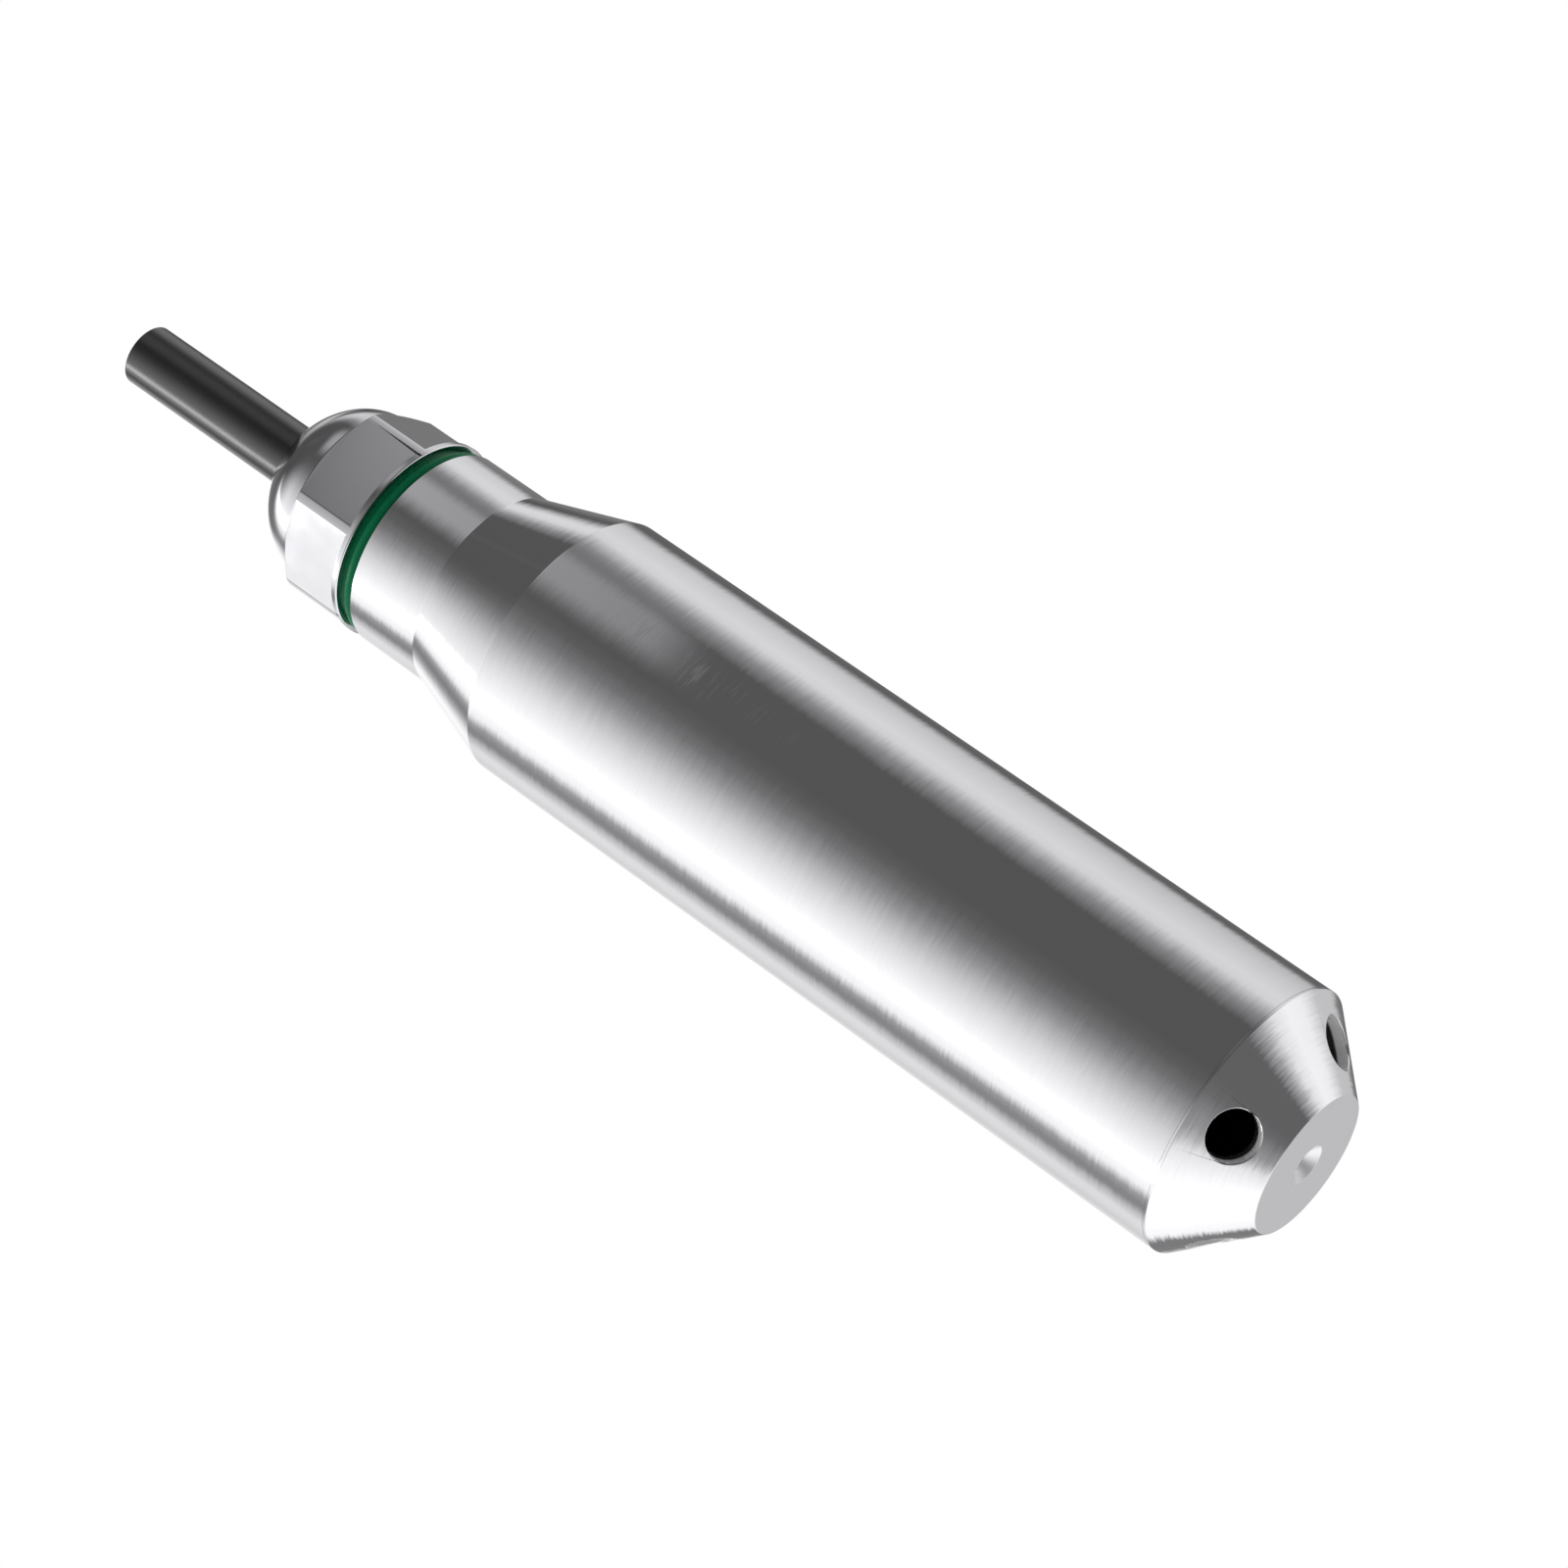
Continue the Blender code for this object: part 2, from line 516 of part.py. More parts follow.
def carrier_and_seals(steel, rubber, spring_steel, probe):
    """The ring that holds the capsule in the tube, its O-ring and the snap ring in front."""
    groove_floor = CARRIER_RADIUS - 2 * CARRIER_RING_SECTION - FIT
    ring_height = (CAPSULE_TOP + CARRIER_TOP) / 2
    half = CARRIER_RING_SECTION + FIT
    snap_outer = CAPSULE_POCKET_RADIUS + SNAP_RING_GRIP
    outline = [
        (CARRIER_RADIUS, CARRIER_BOTTOM),
        (CARRIER_RADIUS, ring_height - half),
        (groove_floor, ring_height - half),
        (groove_floor, ring_height + half),
        (CARRIER_RADIUS, ring_height + half),
        (CARRIER_RADIUS, CARRIER_TOP),
        (CAPSULE_POCKET_RADIUS - CARRIER_LIP_WIDTH, CARRIER_TOP),
        (CAPSULE_POCKET_RADIUS - CARRIER_LIP_WIDTH, LIP_BOTTOM),
        (CAPSULE_POCKET_RADIUS, LIP_BOTTOM),
        (CAPSULE_POCKET_RADIUS, SNAP_RING_BOTTOM + SNAP_RING_THICKNESS + FIT),
        (snap_outer + FIT, SNAP_RING_BOTTOM + SNAP_RING_THICKNESS + FIT),
        (snap_outer + FIT, SNAP_RING_BOTTOM - FIT),
        (CAPSULE_POCKET_RADIUS, SNAP_RING_BOTTOM - FIT),
        (CAPSULE_POCKET_RADIUS, CARRIER_BOTTOM),
    ]
    add("sensor_carrier", turned(outline, INNER_STEPS), steel, probe)
    ring = round_section(CARRIER_RADIUS - CARRIER_RING_SECTION, CARRIER_RING_SECTION)
    add("carrier_o_ring", turned(ring, INNER_STEPS), rubber, probe, ring_height)
    snap = tube_section(CAPSULE_RADIUS - SNAP_RING_GRIP, snap_outer, SNAP_RING_THICKNESS)
    piece = add("snap_ring", turned(snap, INNER_STEPS), spring_steel, probe, SNAP_RING_BOTTOM)
    gap = block(PROBE_RADIUS, SNAP_RING_OPENING, 3 * SNAP_RING_THICKNESS, -SNAP_RING_THICKNESS)
    bmesh.ops.translate(gap, vec=(PROBE_RADIUS / 2, 0, 0), verts=gap.verts)
    cut(piece, gap)


def diaphragm_outline():
    """Both faces of the corrugated foil, from the middle to its clamped rim and back."""
    wavy_radius = CAPSULE_RADIUS - WELD_RING_WIDTH - FIT
    steps = 4 * CORRUGATIONS
    lower, upper = [], []
    for step in range(steps + 1):
        radius = wavy_radius * step / steps
        wave = (1 - math.cos(math.tau * CORRUGATIONS * step / steps)) / 2
        lower.append((radius, -CORRUGATION_DEPTH * wave))
        upper.append((radius, DIAPHRAGM_THICKNESS - CORRUGATION_DEPTH * wave))
    rim = [(CAPSULE_RADIUS, 0.0), (CAPSULE_RADIUS, DIAPHRAGM_THICKNESS)]
    return lower + rim + upper[::-1]


def pressure_capsule(looks, probe):
    """Capsule body, foil diaphragm with its weld ring, glass header, pins and vent pipe."""
    weld = tube_section(CAPSULE_RADIUS - WELD_RING_WIDTH, CAPSULE_RADIUS, WELD_RING_THICKNESS)
    add("weld_ring", turned(weld, INNER_STEPS), looks["steel"], probe, WELD_RING_BOTTOM)
    foil = turned(diaphragm_outline(), INNER_STEPS)
    add("diaphragm", foil, looks["bright"], probe, DIAPHRAGM_BOTTOM)
    groove_floor = CAPSULE_RADIUS - 2 * CAPSULE_RING_SECTION - FIT
    half = CAPSULE_RING_SECTION + FIT
    middle = CAPSULE_LENGTH / 2
    recess = CAPSULE_LENGTH - HEADER_THICKNESS - FIT
    body = [
        (0.0, 0.0),
        (CAPSULE_RADIUS, 0.0),
        (CAPSULE_RADIUS, middle - half),
        (groove_floor, middle - half),
        (groove_floor, middle + half),
        (CAPSULE_RADIUS, middle + half),
        (CAPSULE_RADIUS, CAPSULE_LENGTH),
        (HEADER_RADIUS + FIT, CAPSULE_LENGTH),
        (HEADER_RADIUS + FIT, recess),
        (0.0, recess),
    ]
    add("capsule_body", turned(body, INNER_STEPS), looks["steel"], probe, CAPSULE_BOTTOM)
    ring = round_section(CAPSULE_RADIUS - CAPSULE_RING_SECTION, CAPSULE_RING_SECTION)
    add("capsule_o_ring", turned(ring, INNER_STEPS), looks["rubber"], probe, CAPSULE_BOTTOM + middle)
    pipe_hole = tube_section(0.0, VENT_PIPE_RADIUS + FIT, 3 * HEADER_THICKNESS)
    disc = tube_section(0.0, HEADER_RADIUS, HEADER_THICKNESS)
    header = add("glass_header", turned(disc, INNER_STEPS), looks["glass"], probe, HEADER_BOTTOM)
    cut(header, turned(pipe_hole, FINE_STEPS), -HEADER_THICKNESS)
    pipe = tube_section(VENT_BORE_RADIUS, VENT_PIPE_RADIUS, HEADER_THICKNESS + PIN_LENGTH / 2)
    add("vent_pipe", turned(pipe, FINE_STEPS), looks["steel"], probe, HEADER_BOTTOM)
    for pin in range(PINS):
        spot = pin_place(pin)
        hole = turned(tube_section(0.0, PIN_RADIUS + FIT, 3 * HEADER_THICKNESS), FINE_STEPS)
        bmesh.ops.translate(hole, vec=spot, verts=hole.verts)
        cut(header, hole, -HEADER_THICKNESS)
        post = turned(tube_section(0.0, PIN_RADIUS, HEADER_THICKNESS + PIN_LENGTH), FINE_STEPS)
        bmesh.ops.translate(post, vec=spot, verts=post.verts)
        add(f"header_pin_{pin + 1}", post, looks["gold"], probe, HEADER_BOTTOM)


def pin_place(pin):
    """Where a header pin stands round the axis, between the X and Y axes."""
    angle = math.tau * (pin + 0.5) / PINS
    return PIN_CIRCLE_RADIUS * Vector((math.cos(angle), math.sin(angle), 0))


def capsule_leads(looks, probe):
    """The four wires from the header pins to pads on both faces of the board."""
    start_height = CAPSULE_TOP + PIN_LENGTH + FIT
    pad_face = BOARD_THICKNESS / 2 + FIT + LEAD_RADIUS
    for pin in range(PINS):
        spot = pin_place(pin)
        face = math.copysign(pad_face, spot.y)
        pad = Vector((math.copysign(LEAD_PAD_SPACING / 2, spot.x), face, 0))
        start = spot + Vector((0, 0, start_height))
        end = pad + Vector((0, 0, BOARD_BOTTOM + WIRE_END_DEPTH))
        bend_start = start + Vector((0, 0, 2 * LEAD_RADIUS))
        bend_end = end - Vector((0, 0, WIRE_END_DEPTH / 3))
        colour = ("red", "white", "blue", "yellow")[pin]
        route = bent_run(start, bend_start, bend_end, end)
        wire(f"capsule_lead_{pin + 1}", route, LEAD_RADIUS, looks[colour], probe)


def electronics(looks, probe):
    """Insulating sleeve, two slotted supports, and the board with its parts."""
    sleeve = tube_section(SLEEVE_RADIUS - SLEEVE_WALL, SLEEVE_RADIUS, SLEEVE_LENGTH)
    add("insulating_sleeve", turned(sleeve, INNER_STEPS), looks["film"], probe, SLEEVE_BOTTOM)
    ring = tube_section(SUPPORT_RADIUS - SUPPORT_WIDTH, SUPPORT_RADIUS, SUPPORT_THICKNESS)
    slot_length = 2 * (SUPPORT_RADIUS - SLOT_WALL)
    slot_width = BOARD_THICKNESS + 2 * FIT
    supports = (
        ("front_support", FRONT_SUPPORT_BOTTOM, SUPPORT_THICKNESS - SLOT_DEPTH),
        ("rear_support", REAR_SUPPORT_BOTTOM, -SUPPORT_THICKNESS),
    )
    for name, height, slot_base in supports:
        piece = add(name, turned(ring, INNER_STEPS), looks["plastic"], probe, height)
        cut(piece, block(slot_length, slot_width, SLOT_DEPTH + SUPPORT_THICKNESS, slot_base))
    board_length = BOARD_TOP - BOARD_BOTTOM
    board = block(BOARD_WIDTH, BOARD_THICKNESS, board_length)
    add("circuit_board", board, looks["board"], probe, BOARD_BOTTOM)
    for side, parts in ((1, BOARD_PARTS_FRONT), (-1, BOARD_PARTS_BACK)):
        for name, width, height, thickness, share in parts:
            part = bevelled_block(width, thickness, height, PART_EDGE)
            out = BOARD_THICKNESS / 2 + FIT + thickness / 2
            bmesh.ops.translate(part, vec=(0, side * out, 0), verts=part.verts)
            add(name, part, looks["chip"], probe, BOARD_BOTTOM + share * board_length)
    arrester = turned(tube_section(0.0, SURGE_ARRESTER_RADIUS, SURGE_ARRESTER_LENGTH), INNER_STEPS)
    out = BOARD_THICKNESS / 2 + FIT + SURGE_ARRESTER_RADIUS
    bmesh.ops.translate(
        arrester, vec=(SURGE_ARRESTER_SIDE * BOARD_WIDTH, -out, 0), verts=arrester.verts
    )
    foot = BOARD_BOTTOM + SURGE_ARRESTER_SHARE * board_length - SURGE_ARRESTER_LENGTH / 2
    add("surge_arrester", arrester, looks["ceramic"], probe, foot)


def finishes():
    """The finish of every kind of piece."""
    return {
        "steel": finish("brushed_steel", (0.60, 0.59, 0.60), 1.0, 0.28),
        "bright": finish("bright_foil", (0.72, 0.72, 0.73), 1.0, 0.15),
        "rubber": finish("black_rubber", (0.02, 0.02, 0.02), 0.0, 0.6),
        "green": finish("green_seal", (0.01, 0.16, 0.07), 0.0, 0.4),
        "jacket": finish("cable_jacket", (0.02, 0.02, 0.02), 0.0, 0.45),
        "tinned": finish("tinned_copper", (0.70, 0.68, 0.66), 1.0, 0.4),
        "brass": finish("brass", (0.75, 0.58, 0.25), 1.0, 0.3),
        "resin": finish("potting_resin", (0.03, 0.03, 0.03), 0.0, 0.35),
        "gold": finish("gold_plate", (0.90, 0.68, 0.28), 1.0, 0.25),
        "glass": finish("header_glass", (0.05, 0.08, 0.12), 0.0, 0.1),
        "film": finish("insulating_film", (0.75, 0.60, 0.30), 0.0, 0.4),
        "plastic": finish("support_plastic", (0.80, 0.78, 0.72), 0.0, 0.5),
        "board": finish("circuit_board", (0.01, 0.12, 0.06), 0.0, 0.4),
        "chip": finish("chip_black", (0.02, 0.02, 0.02), 0.0, 0.5),
        "ceramic": finish("ceramic_white", (0.85, 0.84, 0.80), 0.0, 0.3),
        "red": finish("wire_red", (0.50, 0.02, 0.02), 0.0, 0.4),
        "blue": finish("wire_blue", (0.02, 0.06, 0.40), 0.0, 0.4),
        "white": finish("wire_white", (0.80, 0.80, 0.80), 0.0, 0.4),
        "yellow": finish("wire_yellow", (0.75, 0.55, 0.05), 0.0, 0.4),
        "vent": finish("vent_tube", (0.75, 0.76, 0.78), 0.0, 0.3),
    }


def build():
    """The whole transmitter."""
    for old in list(bpy.data.objects):
        bpy.data.objects.remove(old)
    looks = finishes()
    probe = axis_point("probe", 0.0)
    cap_point = axis_point("nose_cap_axis", 0.0)
    cap_ring_point = axis_point("cap_ring_axis", CAP_RING_HEIGHT)
    nut_point = axis_point("gland_nut_axis", NUT_BOTTOM)
    washer_point = axis_point("thrust_washer_axis", WASHER_BOTTOM)
    housing(looks["steel"], probe)
    nose_cap(looks["steel"], cap_point)
    cap_ring = round_section(CAP_RING_RADIUS, CAP_RING_SECTION)
    add("nose_cap_o_ring", turned(cap_ring, INNER_STEPS), looks["rubber"], cap_ring_point, CAP_RING_HEIGHT)
    nut_top = gland_nut(looks["steel"], nut_point)
    gland_inside(looks["rubber"], looks["green"], looks["steel"], probe, washer_point)
    cable_top = cable(looks, probe, nut_top + CABLE_BEYOND_NUT)
    vent_tube(looks["vent"], probe, cable_top)
    carrier_and_seals(looks["steel"], looks["rubber"], looks["bright"], probe)
    pressure_capsule(looks, probe)
    capsule_leads(looks, probe)
    electronics(looks, probe)


build()
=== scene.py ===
"""The submersible level transmitter as photographed: finishes, fine edges, threads, light and camera.

Metres, in the frame of the solids: +Z runs up the probe's axis, from its nose to its cable.
"""

import math

import bmesh
import bpy
from mathutils import Matrix, Quaternion, Vector


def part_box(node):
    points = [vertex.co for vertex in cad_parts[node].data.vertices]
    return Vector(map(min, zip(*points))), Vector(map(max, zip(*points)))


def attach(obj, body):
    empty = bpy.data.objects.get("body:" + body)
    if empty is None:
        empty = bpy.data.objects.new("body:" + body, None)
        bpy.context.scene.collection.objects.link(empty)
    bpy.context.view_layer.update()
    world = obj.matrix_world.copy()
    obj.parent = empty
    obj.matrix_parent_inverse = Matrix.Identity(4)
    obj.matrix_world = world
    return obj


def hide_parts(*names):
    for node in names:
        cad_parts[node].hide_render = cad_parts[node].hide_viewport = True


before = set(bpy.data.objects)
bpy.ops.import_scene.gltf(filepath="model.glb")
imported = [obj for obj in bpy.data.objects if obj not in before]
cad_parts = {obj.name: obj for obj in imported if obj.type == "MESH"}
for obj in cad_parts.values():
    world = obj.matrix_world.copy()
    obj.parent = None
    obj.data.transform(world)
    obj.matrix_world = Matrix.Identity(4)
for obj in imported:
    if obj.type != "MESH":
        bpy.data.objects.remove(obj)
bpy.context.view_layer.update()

# Facets of a turned surface, and of the small ones inside
STEPS = 256
SMALL_STEPS = 64

# The angle from which an edge is sharp, and the widths of the broken edges
SHARP_ANGLE = math.radians(24)
FINE_EDGE = 0.00006
NOSE_EDGE = 0.00004
NUT_EDGE = 0.00009
PORT_EDGE = 0.00012

# Shading: the widest half turn of one facet, and the area from which a face counts in full
FACET_TURN = 1.05 * math.pi / SMALL_STEPS
BROAD_AREA = 1.5e-6

# Nose cap
PROBE_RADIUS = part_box("housing")[1].x
NOSE_FLAT_RADIUS = 0.00735
NOSE_HEIGHT = 0.0070
NOSE_WALL = 0.0021
CENTRE_PORT_RADIUS = 0.00205
CENTRE_BORE_RADIUS = 0.00105
SIDE_PORT_RADIUS = 0.00255
SIDE_PORTS = 4
PORT_SHADE_DEPTH = (0.95, 1.20)  # where a side port's wall turns from its painted highlight to painted shade, in millimetres from the cone
SPIGOT_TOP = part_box("nose_cap")[1].z
SPIGOT_RADIUS = 0.0117
CHAMBER_RADIUS = 0.0087
CAP_RING_LOW, CAP_RING_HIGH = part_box("nose_cap_o_ring")
CAP_RING_SECTION = (CAP_RING_HIGH.z - CAP_RING_LOW.z) / 2
CAP_GROOVE_PLAY = 0.0003
CAP_LAND = 0.0006
CAP_THREAD_START = 0.0008
SPIGOT_CHAMFER = 0.0002

# Housing
TUBE_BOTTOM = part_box("housing")[0].z
TUBE_TOP = 0.0900
NECK_BOTTOM = 0.1006
NECK_TOP = 0.1091
NECK_RADIUS = 0.01065
STUB_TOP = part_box("housing")[1].z
STUB_CHAMFER = 0.0003
STUB_THREAD_START = 0.0012
BUSH_SEAT_RADIUS = 0.0058
BUSH_SEAT_DEPTH = 0.0053
BUSH_TAPER_RADIUS = 0.0043
BUSH_TAPER_DEPTH = 0.0068
CABLE_HOLE_RADIUS = 0.00355
CAVITY_TOP = 0.0975
CAVITY_TOP_RADIUS = 0.0090
CAVITY_SHOULDER = 0.0924
CAVITY_RADIUS = 0.0112
BORE_TOP = 0.0293
BORE_RADIUS = 0.0120
BORE_CHAMFER = 0.0004

# Threads, on the stub and on the spigot
THREAD_RADIUS = 0.0080
THREAD_PITCH = 0.0015
THREAD_DEPTH = 0.0008
THREAD_HALF_FOOT = 0.42 * THREAD_PITCH
THREAD_HALF_CREST = 0.07 * THREAD_PITCH
THREAD_SUNK = 0.0001

# Gland nut and the green ring under it
NUT_BOTTOM = 0.1110
NUT_BLANK_RADIUS = 0.0107
NUT_FLAT_TO_FLAT = 0.0190
NUT_TURN = math.radians(-6.3)
COLLAR_HEIGHT = 0.00065
HEX_LENGTH = 0.00681
HEX_CHAMFER_ANGLE = math.radians(33)
DOME_RADIUS = 0.0093
DOME_HEIGHT = 0.00693
DOME_SQUARENESS = 1.92
MOUTH_EDGE = 0.0004
MOUTH_CLEARANCE = 0.00015
NUT_THREAD_RADIUS = 0.0083
POCKET_RADIUS = 0.0063
POCKET_FLOOR = 0.1189
POCKET_ROOF = 0.1212
GLAND_RING_RADIUS = 0.01045
GLAND_RING_DEPTH = 0.0016
GLAND_RING_RECESS = 0.0006
GLAND_RING_LOW = 0.10938
GLAND_RING_HIGH = 0.11046

# Cable
JACKET_LOW, JACKET_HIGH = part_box("cable_jacket")
CABLE_RADIUS = JACKET_HIGH.x
JACKET_WALL = 0.0009
BRAID_RADIUS = 0.0022
BRAID_WALL = 0.0002
FILLER_DEPTH = 0.0003
FILLER_LENGTH = 0.0040
CORE_PITCH_RADIUS = 0.00086
STRAND_RADIUS = 0.00009
STRAND_CIRCLE = 0.00019
STRAND_PROUD = 0.000008
VENT_BORE_RADIUS = 0.00025

# Camera, fitted to the photograph
LENS = 113.49
SENSOR = 36.0
CAMERA_PLACE = Vector((0.41486, 0.06571, -0.13326))
CAMERA_RIGHT = Vector((-0.431233, 0.511708, -0.743097))
CAMERA_UP = Vector((0.113328, 0.847810, 0.518049))

# Light round the probe: (azimuth in degrees, level), where 1 is about white on the steel
STUDIO = (
    (-180, 0.10),
    (-172, 0.42),  # fill card
    (-160, 0.60),
    (-143, 0.55),
    (-129, 0.67),
    (-121, 0.69),
    (-111, 0.49),
    (-103, 0.24),  # black flag, which draws the dark line
    (-98, 0.235),
    (-91, 0.33),
    (-82, 0.88),  # key softbox and its slow fade
    (-73, 1.00),
    (-71, 3.60),
    (-62, 3.60),
    (-59, 1.00),
    (-33, 0.67),
    (-9, 0.29),
    (3, 0.165),
    (15, 0.105),
    (26, 0.086),  # black curtain
    (70, 0.086),
    (84, 0.25),  # rim panel and its fade
    (100, 0.63),
    (109, 0.66),
    (129, 0.56),
    (151, 0.42),
    (162, 0.16),
    (180, 0.10),
)
GROUND = (
    (-180, 0.44),
    (-165, 0.50),
    (-150, 0.78),  # floor under the key softbox
    (-120, 1.02),
    (-84, 1.00),
    (-60, 0.76),
    (-48, 0.46),
    (-36, 0.30),
    (12, 0.14),
    (36, 0.115),  # floor before the black curtain
    (84, 0.115),
    (96, 0.34),  # floor under the rim panel
    (108, 0.75),
    (120, 0.88),
    (132, 0.84),
    (147, 0.52),
    (180, 0.44),
)
STUDIO_STRENGTH = 1.45

# How the panels lean with height: degrees of azimuth for each degree above LEAN_START
CAMERA_AZIMUTH = 9.0
LEAN_START = 20.0
KEY_LEAN = 0.57
RIM_LEAN, RIM_CURVE = 0.5, 0.017
BACK_LEAN, BACK_LEAN_LIMIT = 0.9, 10.0

# The other regions in degrees: a fade is (start, end), a band (low, high, fade below, fade above)
KEY_SIDE = (-175, -100, 10, 50)
RIM_SIDE = (60, 140, 20, 40)
SKYLINE_FADE = (-4.0, 6.0)
CARD_SIDE_FADE, CARD_TOP_FADE, CARD_GAIN = (-128, -150), (25, 38), 1.4
OVER_SIDE_FADE, OVER_LOW_FADE, OVER_LEVEL = (-108, -128), (39, 48), 0.16
WINDOW_ACROSS, WINDOW_UP = (51, 63, 26, 26), (27.4, 41, 0.8, 14)
WINDOW_RISE, WINDOW_LEVELS = (26.0, 33.0), (0.22, 0.37)
BACK_NEAR_FADE, BACK_FAR_FADE, BACK_LOW_FADE = (144, 163), (193, 184), (6, 14)
CURTAIN_RISE, CURTAIN_LEVELS = (28, 30), (0.10, 0.17)
CURTAIN_TOP_FADE, CURTAIN_TOP_GAIN = (32, 42), 0.4
HORIZON_ACROSS, HORIZON_UP, HORIZON_LEVEL = (185, 223, 25, 20), (-7, 6, 8, 6), 0.18
CEILING_FADE, CEILING_LEVEL = (50, 82), 0.078

# Floor
FLOOR_HEIGHT = -0.40
FLOOR_SIZE = 8.0
FLOOR_GREY = 0.9
FLOOR_GLOW = 0.6


# Node trees


def plug(tree, socket, value):
    """Sets a socket's value, or links another socket to it."""
    if isinstance(value, bpy.types.NodeSocket):
        tree.links.new(value, socket)
    else:
        socket.default_value = value


def node(tree, kind, inputs=None, **settings):
    """A new node with its settings and its inputs, by socket name or number."""
    made = tree.nodes.new(kind)
    for name, value in settings.items():
        setattr(made, name, value)
    for name, value in (inputs or {}).items():
        plug(tree, made.inputs[name], value)
    return made


def calc(tree, operation, *values):
    """The result of a Math node."""
    return node(tree, "ShaderNodeMath", dict(enumerate(values)), operation=operation).outputs[0]


def scaled(tree, value, factor):
    """A vector or colour times a number."""
    inputs = {0: value, "Scale": factor}
    return node(tree, "ShaderNodeVectorMath", inputs, operation="SCALE").outputs[0]


def grey(level):
    """A colour value without hue."""
    return (level, level, level, 1)


def blend(tree, factor, first, second):
    """One value or colour turning into another."""
    made = tree.nodes.new("ShaderNodeMix")
    made.data_type = "RGBA"
    for socket, value in ((0, factor), (6, first), (7, second)):
        plug(tree, made.inputs[socket], value)
    return made.outputs[2]


def spread(tree, value, low, high, to_low=0.0, to_high=1.0):
    """A value's range turned smoothly into another range."""
    inputs = {"Value": value, "From Min": low, "From Max": high, "To Min": to_low, "To Max": to_high}
    made = node(tree, "ShaderNodeMapRange", inputs, interpolation_type="SMOOTHSTEP")
    return made.outputs[0]


def place(tree, scale=(1, 1, 1)):
    """The place on the piece, in millimetres, stretched."""
    made = node(tree, "ShaderNodeTexCoord").outputs["Object"]
    stretched = node(tree, "ShaderNodeMapping", {"Vector": made, "Scale": [1000 * s for s in scale]})
    return stretched.outputs[0]


def noise(tree, where, scale, detail=2.0, roughness=0.5):
    """A noise pattern, from 0 to 1."""
    inputs = {"Vector": where, "Scale": scale, "Detail": detail, "Roughness": roughness}
    return node(tree, "ShaderNodeTexNoise", inputs).outputs["Fac"]


def turned_place(tree):
    """The place on the piece, in millimetres: its spoke from the axis, radius and height."""
    split = node(tree, "ShaderNodeSeparateXYZ", {0: place(tree)})
    x, y, height = split.outputs
    spoke = node(tree, "ShaderNodeCombineXYZ", {0: x, 1: y}).outputs[0]
    radius = node(tree, "ShaderNodeVectorMath", {0: spoke}, operation="LENGTH").outputs["Value"]
    return spoke, radius, height


def round_the_axis(tree, along, arcs, slant):
    """Coordinates that run slowly round the axis and quickly along it, for a lathe's marks."""
    spoke, radius, height = turned_place(tree)
    outward = node(tree, "ShaderNodeVectorMath", {0: spoke}, operation="NORMALIZE").outputs[0]
    turn = scaled(tree, outward, arcs)
    line = calc(tree, "MULTIPLY", calc(tree, "MULTIPLY_ADD", radius, slant, height), along)
    lift = node(tree, "ShaderNodeCombineXYZ", {2: line}).outputs[0]
    return node(tree, "ShaderNodeVectorMath", {0: turn, 1: lift}, operation="ADD").outputs[0]


def material(name, colour, metallic=0.0, roughness=0.5, **extras):
    """A Principled material with its colour set, its tree and its shader."""
    made = bpy.data.materials.new(name)
    made.use_nodes = True
    tree = made.node_tree
    shader = tree.nodes["Principled BSDF"]
    shader.inputs["Base Color"].default_value = (*colour, 1.0)
    shader.inputs["Metallic"].default_value = metallic
    shader.inputs["Roughness"].default_value = roughness
    for socket, value in extras.items():
        shader.inputs[socket.replace("_", " ")].default_value = value
    made.diffuse_color = (*colour, 1.0)
    return made, tree, shader


def dented(tree, shader, height, depth):
    """Gives the shader a bump of that depth in metres."""
    bump = node(tree, "ShaderNodeBump", {"Height": height, "Strength": 1.0, "Distance": depth})
    plug(tree, shader.inputs["Normal"], bump.outputs[0])


def mottled(tree, shader, pattern, colour, shade):
    """Gives the shader its colour, times the shade where the pattern is low."""
    darker = (*[c * shade for c in colour], 1)
    plug(tree, shader.inputs["Base Color"], blend(tree, pattern, darker, (*colour, 1)))


# Finishes


